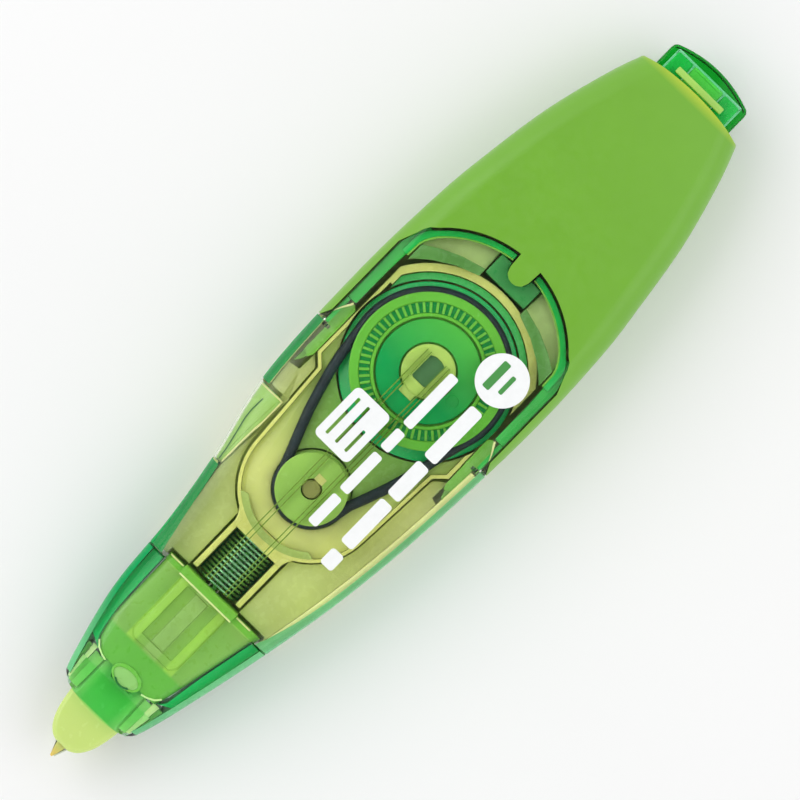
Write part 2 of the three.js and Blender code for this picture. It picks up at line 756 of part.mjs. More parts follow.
// The round belt: an open-belt loop round both pulleys.
function makeDriveBelt() {
  const span = SUPPLY.s - TAKEUP.s;
  const lean = Math.acos((SUPPLY_BELT_R - TAKEUP_BELT_R) / span);
  const loop = new THREE.Path();
  loop.absarc(x(SUPPLY.s), SUPPLY.y, SUPPLY_BELT_R, lean - Math.PI, Math.PI - lean, false);
  loop.absarc(x(TAKEUP.s), TAKEUP.y, TAKEUP_BELT_R, Math.PI - lean, Math.PI + lean, false);
  loop.closePath();
  const points = loop.getSpacedPoints(44).slice(0, -1);
  const route = new THREE.CatmullRomCurve3(
    points.map((point) => new THREE.Vector3(point.x, point.y, BELT_Z)),
    true,
    "catmullrom",
    0.4,
  );
  return solid(new THREE.TubeGeometry(route, 44, BELT_CORD_R, 8, true));
}

// ---- return spring ----
class Helix extends THREE.Curve {
  getPoint(t, target = new THREE.Vector3()) {
    const angle = t * SPRING_TURNS * 2 * Math.PI;
    const s = SPRING_FRONT + SPRING_WIRE_R + t * (SPRING_END - SPRING_FRONT - 2 * SPRING_WIRE_R);
    return target.set(x(s), SPRING_R * Math.cos(angle), HALF_DEPTH + SPRING_R * Math.sin(angle));
  }
}

function makeReturnSpring() {
  const wire = new THREE.Shape();
  wire.absarc(0, 0, SPRING_WIRE_R, 0, 2 * Math.PI, false);
  const options = { steps: SPRING_TURNS * 10, extrudePath: new Helix(), curveSegments: 3 };
  return solid(new THREE.ExtrudeGeometry(wire, options));
}

// ---- materials ----
function plastic(color, roughness, opacity = 1) {
  return new THREE.MeshStandardMaterial({
    color,
    roughness,
    metalness: 0,
    opacity,
    transparent: opacity < 1,
  });
}

const clearGreen = plastic(0x5fd06a, 0.15, 0.45);
const clearOlive = plastic(0xb6cf6a, 0.15, 0.4);
const clearEmerald = plastic(0x12a45c, 0.15, 0.6);
const limePlastic = plastic(0x9bd02e, 0.35);
const coverLime = plastic(0x7cb842, 0.45);
const paleLime = plastic(0xd3e37c, 0.35);
const yellowLime = plastic(0xcfdd55, 0.35);
const flangeGreen = plastic(0x2fa84e, 0.35);
const darkGreen = plastic(0x1d7a3c, 0.35);
const beltRubber = plastic(0x19283c, 0.6);
const tapePaper = plastic(0xf4f5f0, 0.7);
const usedFilm = plastic(0xd9ded0, 0.4);
const springSteel = new THREE.MeshStandardMaterial({ color: 0x4c5350, roughness: 0.35, metalness: 0.9 });

// ---- assembly ----
function assembly(name, pieces) {
  const group = new THREE.Group();
  group.name = name;
  for (const [pieceName, made, material] of pieces) {
    const mesh = new THREE.Mesh(geometryOf(made), material);
    mesh.name = pieceName;
    group.add(mesh);
  }
  return group;
}

const roller = new THREE.Group();
roller.name = "correction_tape_roller_assembly";
roller.add(
  assembly("casing_assembly", [
    ["nose_cap", makeNoseCap(), clearGreen],
    ["guide_bush", makeGuideBush(), limePlastic],
    ["window_shell_upper", makeUpperShell(), clearOlive],
    ["window_shell_lower", makeLowerShell(), clearOlive],
    ["side_strip_left_front", sideStrip(1, SPRING_FRONT, 46.3), clearEmerald],
    ["side_strip_left_rear", join(sideStrip(1, 60.2, 70.7), leafCatch(1)), clearEmerald],
    ["side_strip_right", join(sideStrip(-1, SPRING_FRONT, 70.7), leafCatch(-1)), yellowLime],
    ["return_spring", makeReturnSpring(), springSteel],
  ]),
  assembly("release_assembly", [["release_button", makeReleaseButton(), limePlastic]]),
  assembly("cover_assembly", [
    ["rear_cover", makeRearCover(), coverLime],
    ["button_lip_upper", makeButtonLip(1), limePlastic],
    ["button_lip_lower", makeButtonLip(-1), limePlastic],
    ["cam_sleeve", makeCamSleeve(), limePlastic],
  ]),
  assembly("knock_assembly", [
    ["push_rod", makePushRod(), darkGreen],
    ["knock_core", makeKnockCore(), limePlastic],
    ["knock_button", makeKnockButton(), clearEmerald],
  ]),
  assembly("rotor_assembly", [["cam_rotor", makeCamRotor(), paleLime]]),
  assembly("cartridge_assembly", [
    ["cartridge_tray", makeCartridgeTray(), yellowLime],
    ["cartridge_lid", makeCartridgeLid(), yellowLime],
    ["supply_hub_cap", makeHubCap(), yellowLime],
    ["tip_holder", makeTipHolder(), paleLime],
    ["tip_blade", makeTipBlade(), yellowLime],
    ["tape_feed_run", tapeRun(FEED_ROUTE), tapePaper],
    ["tape_return_run", tapeRun(RETURN_ROUTE), usedFilm],
    ["drive_belt", makeDriveBelt(), beltRubber],
  ]),
  assembly("supply_assembly", [
    ["supply_reel", makeSupplyReel(), flangeGreen],
    ["fresh_tape_roll", tapeRoll(SUPPLY, SUPPLY_CORE_R + GAP, FRESH_ROLL_R, 40), tapePaper],
    ["supply_pulley", makeSupplyPulley(), limePlastic],
    ["clutch_disc", makeClutchDisc(), clearEmerald],
  ]),
  assembly("takeup_assembly", [
    ["takeup_reel", makeTakeupReel(), yellowLime],
    ["used_tape_roll", tapeRoll(TAKEUP, TAKEUP_CORE_R + 0.2, USED_ROLL_R, 28), usedFilm],
    ["takeup_pulley", makeTakeupPulley(), yellowLime],
  ]),
);

export default roller;
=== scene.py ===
import math
import bpy
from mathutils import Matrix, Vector


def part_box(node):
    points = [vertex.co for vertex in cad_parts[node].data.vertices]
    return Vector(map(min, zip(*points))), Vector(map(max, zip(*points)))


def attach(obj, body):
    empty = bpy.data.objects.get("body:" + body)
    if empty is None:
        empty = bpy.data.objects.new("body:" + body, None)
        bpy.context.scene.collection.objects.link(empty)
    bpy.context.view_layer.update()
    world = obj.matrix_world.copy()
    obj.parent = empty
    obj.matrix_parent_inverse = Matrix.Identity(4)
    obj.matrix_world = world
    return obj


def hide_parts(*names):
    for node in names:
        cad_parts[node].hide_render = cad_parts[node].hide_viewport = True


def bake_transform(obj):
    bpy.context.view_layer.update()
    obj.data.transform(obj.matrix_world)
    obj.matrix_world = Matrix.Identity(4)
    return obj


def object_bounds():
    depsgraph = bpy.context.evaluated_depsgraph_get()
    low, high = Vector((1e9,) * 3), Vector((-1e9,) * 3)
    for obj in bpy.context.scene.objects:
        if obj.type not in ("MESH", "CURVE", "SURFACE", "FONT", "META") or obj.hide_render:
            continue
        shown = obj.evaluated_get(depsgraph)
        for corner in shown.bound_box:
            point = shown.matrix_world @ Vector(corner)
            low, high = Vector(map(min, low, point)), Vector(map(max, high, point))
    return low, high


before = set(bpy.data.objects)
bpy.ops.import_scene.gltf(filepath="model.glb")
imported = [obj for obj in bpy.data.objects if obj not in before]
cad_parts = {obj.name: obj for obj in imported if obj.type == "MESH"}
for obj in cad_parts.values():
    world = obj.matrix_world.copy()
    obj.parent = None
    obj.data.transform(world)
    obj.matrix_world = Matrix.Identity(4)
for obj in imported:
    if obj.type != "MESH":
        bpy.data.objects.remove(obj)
cad_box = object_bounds()

# ---- measures, in millimetres unless a name says otherwise ----
MM = 0.001
TIP_X = cad_box[0].x / MM  # the tape tip: stations are counted back from here
MIDDLE = 8.0  # height of the middle plane
GAP = 0.3
BODY_END = 131.2
NOSE_FRONT, NOSE_END = 8.8, 31.65
SHELL_FRONT, SLEEVE_END = 31.95, 104.0
COVER_FRONT = 71.9
WINDOW_END, WINDOW_RADIUS, WINDOW_SIDE = 97.8, 17.5, 14.3
ARM_INNER, ARM_END = 15.6, 87.0
TONGUE_HALF, TONGUE_FRONT = 1.9, 93.8
CORNER = 3.5

NOSE_SKIN, NOSE_SKIN_ROOM = 0.94, 0.98  # thickness of the nose's side skins, and depth of their slots
WINDOW_FIT = 0.15  # gap between the clear window and the cover's opening
REEL_HOLE, TAKEUP_HOLE = 13.1, 5.85  # radii left open round the reels
PRINT_LOW, PRINT_HIGH = 15.97, 16.04  # the printing stands a hair above the face

# Hull: station, half-width on the +Y side, half-width on the -Y side, half-depth.
HULL = [
    (8.8, 6.5, 6.1, 4.9), (13.6, 8.1, 7.7, 5.7), (24, 10.5, 10.2, 6.9), (36, 11.5, 12.7, 7.7),
    (47, 13.2, 14.5, 8), (61, 16.1, 15.9, 8), (80, 16.8, 16.8, 8), (95, 16.3, 16.4, 8),
    (104, 15.4, 15.4, 8), (115, 13.7, 13.7, 7.6), (125, 11.1, 11.1, 6.9), (131.2, 8.9, 8.9, 6.2),
]


def middle_of(node):
    low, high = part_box(node)
    return ((low.x + high.x) / 2 / MM - TIP_X, (low.y + high.y) / 2 / MM)


SUPPLY = middle_of("supply_reel")
TAKEUP = middle_of("takeup_reel")


def at(s, y, z):
    """A place: station back from the tip, offset across, height."""
    return Vector(((TIP_X + s) * MM, y * MM, z * MM))


# ---- the bench: small moves used on every piece ----
def clear_selection():
    if bpy.context.object and bpy.context.object.mode != "OBJECT":
        bpy.ops.object.mode_set(mode="OBJECT")
    bpy.ops.object.select_all(action="DESELECT")


def take(piece):
    clear_selection()
    bpy.context.view_layer.objects.active = piece
    piece.select_set(True)


def select_whole():
    bpy.ops.mesh.select_all(action="SELECT")


def open_mesh(piece, kind="VERT"):
    take(piece)
    bpy.ops.object.mode_set(mode="EDIT")
    bpy.ops.mesh.select_mode(type=kind)


def close_mesh():
    bpy.ops.object.mode_set(mode="OBJECT")


def name_it(name):
    piece = bpy.context.object
    piece.name = piece.data.name = name
    return piece


def settle():
    """The object's place goes into its mesh, so that the object itself sits at the origin."""
    bpy.ops.object.transform_apply(location=True, rotation=True, scale=True)


def tidy_faces():
    select_whole()
    bpy.ops.mesh.remove_doubles(threshold=1e-6)
    bpy.ops.mesh.normals_make_consistent(inside=False)


def pick(piece, kind, test):
    """Selects the faces, edges or corners that pass a test on their middle and, for a face, its normal."""
    open_mesh(piece, kind)
    bpy.ops.mesh.select_all(action="DESELECT")
    close_mesh()
    mesh = piece.data
    if kind == "FACE":
        for face in mesh.polygons:
            face.select = bool(test(face.center / MM, face.normal))
    elif kind == "EDGE":
        for edge in mesh.edges:
            a, b = (mesh.vertices[i].co / MM for i in edge.vertices)
            edge.select = bool(test((a + b) / 2, b - a))
    else:
        for corner in mesh.vertices:
            corner.select = bool(test(corner.co / MM, None))
    bpy.ops.object.mode_set(mode="EDIT")


def draw(name, places):
    """A line through places, pulled point by point out of a plane merged down to one corner."""
    clear_selection()
    bpy.ops.mesh.primitive_plane_add(size=MM, location=places[0])
    settle()
    piece = name_it(name)
    open_mesh(piece)
    select_whole()
    bpy.ops.mesh.merge(type="CENTER")
    for before, after in zip(places, places[1:]):
        bpy.ops.mesh.extrude_vertices_move(TRANSFORM_OT_translate={"value": after - before})
    return piece


def plate(name, outline, low, high):
    """A flat piece with a plan outline, between two heights."""
    piece = draw(name, [at(s, y, low) for s, y in outline])
    select_whole()
    bpy.ops.mesh.edge_face_add()
    bpy.ops.mesh.extrude_region_move(TRANSFORM_OT_translate={"value": (0, 0, (high - low) * MM)})
    tidy_faces()
    close_mesh()
    return piece


def turned(name, centre, profile, steps=96):
    """A turned piece: a closed profile of (radius, height) spun about an upright axis."""
    s, y = centre
    piece = draw(name, [at(s + r, y, z) for r, z in [*profile, profile[0]]])
    select_whole()
    bpy.ops.mesh.remove_doubles(threshold=1e-6)
    bpy.ops.mesh.spin(steps=steps, angle=2 * math.pi, center=at(s, y, 0), axis=(0, 0, 1))
    tidy_faces()
    close_mesh()
    return piece


def drill(centre, radius, low, high, steps=96):
    """A round cutter."""
    return turned("drill", centre, [(0.01, low), (radius, low), (radius, high), (0.01, high)], steps)


def block(name, s0, s1, y0, y1, z0, z1, soft=0.0, segments=3):
    """A rectangular piece with its edges rounded."""
    clear_selection()
    bpy.ops.mesh.primitive_cube_add(size=1, location=at((s0 + s1) / 2, (y0 + y1) / 2, (z0 + z1) / 2))
    bpy.context.object.scale = ((s1 - s0) * MM, (y1 - y0) * MM, (z1 - z0) * MM)
    settle()
    piece = name_it(name)
    if soft:
        soften(piece, soft, segments)
    return piece


def loft(name, stations, corner, segments=6):
    """A body pulled out along the length through rectangles, then its four long edges rounded.
    A station is (s, lowest y, highest y, lowest z, highest z)."""
    clear_selection()
    s, y0, y1, z0, z1 = stations[0]
    bpy.ops.mesh.primitive_plane_add(
        size=1, rotation=(0, math.pi / 2, 0), location=at(s, (y0 + y1) / 2, (z0 + z1) / 2)
    )
    bpy.context.object.scale = ((z1 - z0) * MM, (y1 - y0) * MM, 1)
    settle()
    piece = name_it(name)
    open_mesh(piece)
    select_whole()
    for before, after in zip(stations, stations[1:]):
        s0, a0, a1, b0, b1 = before
        s1, c0, c1, d0, d1 = after
        step = at(s1, (c0 + c1) / 2, (d0 + d1) / 2) - at(s0, (a0 + a1) / 2, (b0 + b1) / 2)
        bpy.ops.mesh.extrude_region_move(TRANSFORM_OT_translate={"value": step})
        bpy.ops.transform.resize(
            value=(1, (c1 - c0) / (a1 - a0), (d1 - d0) / (b1 - b0)),
            center_override=at(s1, (c0 + c1) / 2, (d0 + d1) / 2),
        )
    close_mesh()
    pick(piece, "EDGE", lambda middle, run: abs(run.x) > 1e-3)
    bpy.ops.mesh.bevel(
        offset=corner * MM, offset_type="OFFSET", segments=segments, affect="EDGES", clamp_overlap=False
    )
    tidy_faces()
    close_mesh()
    return piece


def soften(piece, width, segments=3, angle=35):
    """Rounds the sharp edges."""
    take(piece)
    bevel = piece.modifiers.new("Edge", "BEVEL")
    bevel.limit_method = "ANGLE"
    bevel.angle_limit = math.radians(angle)
    bevel.width = width * MM
    bevel.segments = segments
    bevel.use_clamp_overlap = True
    bpy.ops.object.modifier_apply(modifier=bevel.name)
    return piece


def fit(piece, other, how):
    """Joins, cuts or crosses a piece with another one, which is used up."""
    take(piece)
    joint = piece.modifiers.new("Fit", "BOOLEAN")
    joint.operation = how
    joint.object = other
    joint.solver = "EXACT"
    bpy.ops.object.modifier_apply(modifier=joint.name)
    old = other.data
    bpy.data.objects.remove(other)
    bpy.data.meshes.remove(old)
    return piece


def cut(piece, *others):
    for other in others:
        fit(piece, other, "DIFFERENCE")
    return piece


def weld(piece, *others):
    for other in others:
        fit(piece, other, "UNION")
    return piece


def gather(piece, *others):
    """Several loose shells kept as one piece."""
    take(piece)
    for other in others:
        other.select_set(True)
    bpy.ops.object.join()
    return piece


def clean(piece, fine=0.004):
    """Merges the slivers that a cut leaves, and flattens what is flat."""
    open_mesh(piece)
    select_whole()
    bpy.ops.mesh.remove_doubles(threshold=fine * MM)
    bpy.ops.mesh.dissolve_limited(angle_limit=math.radians(0.3))
    close_mesh()
    return piece


def smooth(piece, angle=32):
    take(piece)
    bpy.ops.object.shade_smooth_by_angle(angle=math.radians(angle))
    return piece


def tube(name, places, radius, closed=False, sides=4):
    """A round cord along a line of places."""
    piece = draw(name, places)
    if closed:
        select_whole()
        close_mesh()
        ends = (0, len(piece.data.vertices) - 1)
        pick(piece, "VERT", lambda place, _: False)
        close_mesh()
        for end in ends:
            piece.data.vertices[end].select = True
        bpy.ops.object.mode_set(mode="EDIT")
        bpy.ops.mesh.edge_face_add()
    close_mesh()
    take(piece)
    bpy.ops.object.convert(target="CURVE")
    piece = bpy.context.object
    piece.data.bevel_depth = radius * MM
    piece.data.bevel_resolution = sides
    piece.data.use_fill_caps = True
    bpy.ops.object.convert(target="MESH")
    piece = name_it(name)
    open_mesh(piece)
    tidy_faces()
    close_mesh()
    return piece


def finish_piece(piece, body, finish, slot, *stands_for, angle=32):
    smooth(piece, angle)
    piece.data.materials.clear()
    piece.data.materials.append(finish)
    if stands_for:
        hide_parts(*stands_for)
    if body:
        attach(piece, body)
    return piece


# ---- the hull's shape ----
def hull_at(s):
    """Half-widths and half-depth at a station, on a smooth curve through the table."""

    def point(turn, column):
        i = min(int(turn), len(HULL) - 2)
        t = turn - i
        p1, p2 = HULL[i][column], HULL[i + 1][column]
        p0 = HULL[i - 1][column] if i else 2 * p1 - p2
        p3 = HULL[i + 2][column] if i + 2 < len(HULL) else 2 * p2 - p1
        return 0.5 * (
            2 * p1 + (p2 - p0) * t + (2 * p0 - 5 * p1 + 4 * p2 - p3) * t ** 2 + (3 * p1 - p0 - 3 * p2 + p3) * t ** 3
        )

    low, high = 0.0, len(HULL) - 1.0
    for _ in range(24):
        half = (low + high) / 2
        if point(half, 0) < s:
            low = half
        else:
            high = half
    return point(high, 1), point(high, 2), min(8.0, point(high, 3))


def spread(low, high, count):
    return [low + (high - low) * i / count for i in range(count + 1)]


def hull_stations(s0, s1, count, side=0.0, face=0.0, widest=99.0):
    rows = []
    for s in spread(s0, s1, count):
        left, right, depth = hull_at(s)
        left, right, depth = min(left - side, widest), min(right - side, widest), depth - face
        rows.append((s, -right, left, MIDDLE - depth, MIDDLE + depth))
    return rows


def hull_body(name, s0, s1, count, side=0.0, face=0.0, widest=99.0, segments=8):
    return loft(name, hull_stations(s0, s1, count, side, face, widest), CORNER - (side + face) / 2, segments)


def flip(outline, side):
    """An outline drawn for the +Y side, kept there (1) or turned over to the -Y side (-1)."""
    return [(s, side * y) for s, y in outline]


def arc(s, y, radius, start, end, count):
    return [(s + radius * math.cos(a), y + radius * math.sin(a)) for a in spread(start, end, count)]


def window_outline(inset, front=30.0, wide=20.0, steps=16):
    """Plan of the opening between the rear cover's side arms, drawn in by an inset."""
    side, arm, end, tongue = WINDOW_SIDE - inset, ARM_INNER - inset, WINDOW_END - inset, TONGUE_HALF + inset
    centre = end - WINDOW_RADIUS
    corner = math.asin((side - 1.4) / WINDOW_RADIUS)
    inner = math.asin(tongue / WINDOW_RADIUS)
    shoulder = centre + WINDOW_RADIUS * math.cos(corner) - 1.6
    tip = TONGUE_FRONT - inset
    right = [
        (front, -wide), (COVER_FRONT - inset, -wide), (COVER_FRONT - inset, -16.4), (COVER_FRONT + 1.6 - inset, -arm),
        (ARM_END - inset, -arm), (shoulder - 0.9, -side - 0.25),
        (shoulder, -side + 0.05), (shoulder + 0.9, -side + 0.55),
        *arc(centre, 0, WINDOW_RADIUS, -corner, -inner, steps),
        (tip + 1.6, -tongue * 0.92), (tip + 0.6, -tongue * 0.72), (tip + 0.12, -tongue * 0.36), (tip, 0),
    ]
    return right + [(s, -y) for s, y in reversed(right[:-1])]


# ---- materials ----
class Finish:
    """A material put together node by node, on the piece's own coordinates."""

    def __init__(self, name):
        self.material = bpy.data.materials.new(name)
        self.material.use_nodes = True
        self.nodes = self.material.node_tree.nodes
        self.links = self.material.node_tree.links
        self.nodes.clear()
        self.out = self.nodes.new("ShaderNodeOutputMaterial")
        self.place = self.nodes.new("ShaderNodeTexCoord").outputs["Object"]

    def add(self, kind, **inputs):
        node = self.nodes.new(kind)
        for label, value in inputs.items():
            socket = node.inputs[int(label[1:])] if label[0] == "_" else node.inputs[label.replace("_", " ")]
            if hasattr(value, "is_output"):
                self.links.new(value, socket)
            else:
                socket.default_value = value
        return node

    def grain(self, scale, detail=3.0, rough=0.5):
        """Cloudy noise; scale is in features to the metre."""
        node = self.add("ShaderNodeTexNoise", Vector=self.place, Scale=scale, Detail=detail, Roughness=rough)
        return node.outputs["Fac"]

    def spread_to(self, value, low, high, start=0.3, end=0.7):
        node = self.add("ShaderNodeMapRange", Value=value)
        for label, number in (("From Min", start), ("From Max", end), ("To Min", low), ("To Max", high)):
            node.inputs[label].default_value = number
        return node.outputs["Result"]

    def blend(self, factor, first, second):
        node = self.nodes.new("ShaderNodeMix")
        node.data_type = "RGBA"
        for index, value in ((0, factor), (6, first), (7, second)):
            if hasattr(value, "is_output"):
                self.links.new(value, node.inputs[index])
            else:
                node.inputs[index].default_value = value
        return node.outputs[2]

    def bump(self, height, strength, distance):
        node = self.add("ShaderNodeBump", Height=height, Strength=strength, Distance=distance)
        return node.outputs["Normal"]

    def shader(self, colour, roughness, normal=None):
        node = self.add("ShaderNodeBsdfPrincipled", Roughness=roughness, Base_Color=colour)
        if normal is not None:
            self.links.new(normal, node.inputs["Normal"])
        self.links.new(node.outputs["BSDF"], self.out.inputs["Surface"])
        return node


def paint(red, green, blue):
    """A colour given as it reads on a swatch card, 0 to 255."""

    def level(v):
        v /= 255
        return v / 12.92 if v <= 0.04045 else ((v + 0.055) / 1.055) ** 2.4

    return (level(red), level(green), level(blue), 1.0)


def shade(colour, factor):
    return tuple(min(1.0, c * factor) for c in colour[:3]) + (1.0,)


def moulded(name, colour, gloss=0.3, glow=0.0, mottle=0.08, texture=0.06, gradient=None, ior=1.5):
    """Injection-moulded plastic: faint flow clouds in the colour, a fine satin skin, and a little light let through."""
    f = Finish(name)
    base = f.blend(f.spread_to(f.grain(170, 2), 0, 1), shade(colour, 1 - mottle), shade(colour, 1 + mottle))
    if gradient:
        axis, start, end, far = gradient
        split = f.add("ShaderNodeSeparateXYZ", Vector=f.place)
        base = f.blend(f.spread_to(split.outputs[axis], 0, 1, start, end), base, far)
    rough = f.spread_to(f.grain(900, 3), gloss - 0.05, gloss + 0.07)
    skin = f.bump(f.grain(5200, 2), texture, 0.00004)
    node = f.shader(base, rough, skin)
    node.inputs["IOR"].default_value = ior
    if glow:
        node.inputs["Subsurface Weight"].default_value = glow
        node.inputs["Subsurface Radius"].default_value = (1.0, 1.0, 0.5)
        node.inputs["Subsurface Scale"].default_value = 0.0012
    return f.material


def clear(name, per_mm, skin=0.03, ior=1.47, shadow=(1.0, 1.0, 1.0, 1.0)):
    """Clear tinted plastic: the tint builds up with thickness, and lamps shine through to what lies inside."""
    f = Finish(name)
    rough = f.spread_to(f.grain(260, 3), max(0.0, skin - 0.015), skin + 0.02)
    waves = f.bump(f.grain(150, 1), 0.05, 0.0001)
    glass = f.add("ShaderNodeBsdfPrincipled", Roughness=rough, Base_Color=(1, 1, 1, 1), Normal=waves)
    glass.inputs["IOR"].default_value = ior
    glass.inputs["Transmission Weight"].default_value = 1.0
    through = f.add("ShaderNodeBsdfTransparent", Color=shadow)
    path = f.nodes.new("ShaderNodeLightPath")
    mix = f.add("ShaderNodeMixShader", _0=path.outputs["Is Shadow Ray"], _1=glass.outputs[0], _2=through.outputs[0])
    f.links.new(mix.outputs[0], f.out.inputs["Surface"])
    dense = max(per_mm) * 1.02
    tint = f.nodes.new("ShaderNodeVolumeAbsorption")
    tint.inputs["Color"].default_value = tuple(1 - v / dense for v in per_mm) + (1.0,)
    tint.inputs["Density"].default_value = dense / MM
    f.links.new(tint.outputs[0], f.out.inputs["Volume"])
    return f.material


def painted_backlight(name, colour, through):
    """Clear plastic given a pale diffuse colour of painted light, standing for the bright floor seen through it; part
    of its light passes.
    """
    f = Finish(name)
    tone = f.blend(f.spread_to(f.grain(190, 2), 0, 1), shade(colour, 0.94), shade(colour, 1.04))
    lit_diffuse = f.add("ShaderNodeBsdfPrincipled", Roughness=f.spread_to(f.grain(420, 3), 0.3, 0.42), Base_Color=tone)
    lit_diffuse.inputs["IOR"].default_value = 1.3
    lit_diffuse.inputs["Transmission Weight"].default_value = through
    lit = f.nodes.new("ShaderNodeBsdfTransparent")
    path = f.nodes.new("ShaderNodeLightPath")
    mix = f.add("ShaderNodeMixShader", _0=path.outputs["Is Shadow Ray"], _1=lit_diffuse.outputs[0], _2=lit.outputs[0])
    f.links.new(mix.outputs[0], f.out.inputs["Surface"])
    return f.material


def bands(name, stops, ends=(), gloss=0.3, glow=0.1):
    """Plastic whose colour changes across the piece, by how far a spot is from the long axis, and towards its ends.
    An end is (station where its colour starts, station where it is full, colour)."""
    f = Finish(name)
    split = f.add("ShaderNodeSeparateXYZ", Vector=f.place)
    away = f.nodes.new("ShaderNodeMath")
    away.operation = "ABSOLUTE"
    f.links.new(split.outputs["Y"], away.inputs[0])
    reach = stops[-1][0]
    ramp = f.add("ShaderNodeValToRGB", Fac=f.spread_to(away.outputs[0], 0, 1, 0, reach * MM))
    scale = ramp.color_ramp
    while len(scale.elements) < len(stops):
        scale.elements.new(0.5)
    for element, (y, colour) in zip(scale.elements, stops):
        element.position = y / reach
    for element, (y, colour) in zip(scale.elements, stops):
        element.color = colour
    clouds = f.spread_to(f.grain(220, 2), 0.92, 1.06)
    tone = f.nodes.new("ShaderNodeMix")
    tone.data_type = "RGBA"
    tone.blend_type = "MULTIPLY"
    tone.inputs[0].default_value = 1.0
    f.links.new(ramp.outputs["Color"], tone.inputs[6])
    grey = f.add("ShaderNodeCombineColor", Red=clouds, Green=clouds, Blue=clouds)
    f.links.new(grey.outputs["Color"], tone.inputs[7])
    colour = tone.outputs[2]
    for start, full, end_colour in ends:
        colour = f.blend(f.spread_to(split.outputs["X"], 0, 1, at(start, 0, 0).x, at(full, 0, 0).x), colour, end_colour)
    rough = f.spread_to(f.grain(900, 3), gloss - 0.05, gloss + 0.07)
    node = f.shader(colour, rough, f.bump(f.grain(5200, 2), 0.05, 0.00004))
    if glow:
        node.inputs["Subsurface Weight"].default_value = glow
        node.inputs["Subsurface Radius"].default_value = (1.0, 1.0, 0.5)
        node.inputs["Subsurface Scale"].default_value = 0.001
    return f.material


def wound(name, light, dark, centre, pitch):
    """A wound strip on edge: fine rings about the reel's centre."""
    f = Finish(name)
    move = f.nodes.new("ShaderNodeMapping")
    move.inputs["Location"].default_value = -at(centre[0], centre[1], 0)
    f.links.new(f.place, move.inputs["Vector"])
    rings = f.nodes.new("ShaderNodeTexWave")
    rings.wave_type = "RINGS"
    rings.rings_direction = "Z"
    rings.inputs["Scale"].default_value = 1 / (pitch * MM) / 20
    rings.inputs["Distortion"].default_value = 1.5
    f.links.new(move.outputs[0], rings.inputs["Vector"])
    colour = f.blend(rings.outputs["Fac"], dark, light)
    f.shader(colour, f.spread_to(f.grain(700), 0.45, 0.65), f.bump(rings.outputs["Fac"], 0.3, 0.00005))
    return f.material


def rubber(name, colour):
    f = Finish(name)
    tone = f.blend(f.spread_to(f.grain(500, 4), 0, 1), shade(colour, 0.75), shade(colour, 1.35))
    f.shader(tone, f.spread_to(f.grain(1500, 3), 0.42, 0.62), f.bump(f.grain(6500, 3), 0.25, 0.00006))
    return f.material


def steel(name, colour):
    f = Finish(name)
    tone = f.blend(f.spread_to(f.grain(2600, 3), 0, 1), shade(colour, 0.7), shade(colour, 1.3))
    node = f.shader(tone, f.spread_to(f.grain(1800, 2), 0.22, 0.4), f.bump(f.grain(9000, 2), 0.12, 0.00003))
    node.inputs["Metallic"].default_value = 1.0
    return f.material


def ink(name, colour):
    f = Finish(name)
    tone = f.blend(f.spread_to(f.grain(1100, 4), 0, 1), shade(colour, 0.96), colour)
    f.shader(tone, f.spread_to(f.grain(2600, 3), 0.4, 0.6), f.bump(f.grain(7000, 3), 0.15, 0.00002))
    return f.material


def along(start, end, far):
    """A change of colour along the length, between two stations."""
    return ("X", at(start, 0, 0).x, at(end, 0, 0).x, far)


nose_green = clear("nose_green", (0.24, 0.03, 0.18), ior=1.3)
window_olive = clear("window_olive", (0.05, 0.035, 0.10), ior=1.36)
# painted light: the clear lower shell gets a pale diffuse colour that stands for the bright floor seen through it
base_olive = painted_backlight("base_olive", paint(226, 240, 164), 0.35)
button_emerald = clear("button_emerald", (0.62, 0.08, 0.36), ior=1.3)
nose_emerald = moulded("nose_emerald", paint(0, 184, 100), 0.25, 0.0, 0.1, ior=1.08)
skin_emerald = moulded("skin_emerald", paint(0, 158, 76), 0.25, 0.0, 0.1, ior=1.1)
nose_fade = along(14, 24, paint(10, 162, 88))
nose_skin_left = moulded("nose_skin_tone", paint(104, 192, 128), 0.25, 0.05, 0.1, gradient=nose_fade, ior=1.15)
skin_sage = moulded("skin_sage", paint(104, 194, 128), 0.25, 0.15, 0.08, ior=1.25)
sleeve_green = moulded("sleeve_green", paint(56, 196, 84), 0.25, 0.1, 0.08, ior=1.3)
fill_green = moulded("fill_green", paint(158, 214, 120), 0.25, 0.15, ior=1.3)
lid_lime = moulded("lid_lime", paint(236, 240, 158), 0.22, 0.25, gradient=along(50, 66, paint(196, 224, 132)))
well_lime = moulded("well_lime", paint(170, 216, 116), 0.25, 0.15, gradient=along(56, 68, paint(140, 204, 100)))
# painted light: this band's green is raised brighter than the plastic, to offset the shade it lies in beside the belt
rear_sage = moulded("rear_sage", paint(84, 214, 126), 0.25, 0.1)
# painted light: the decks grow brighter towards station 60, where the view through the shell falls darker
deck_painted_brightening = along(42, 60, paint(242, 250, 184))
deck_olive = moulded("deck_olive", paint(214, 226, 154), 0.25, 0.25, gradient=deck_painted_brightening)
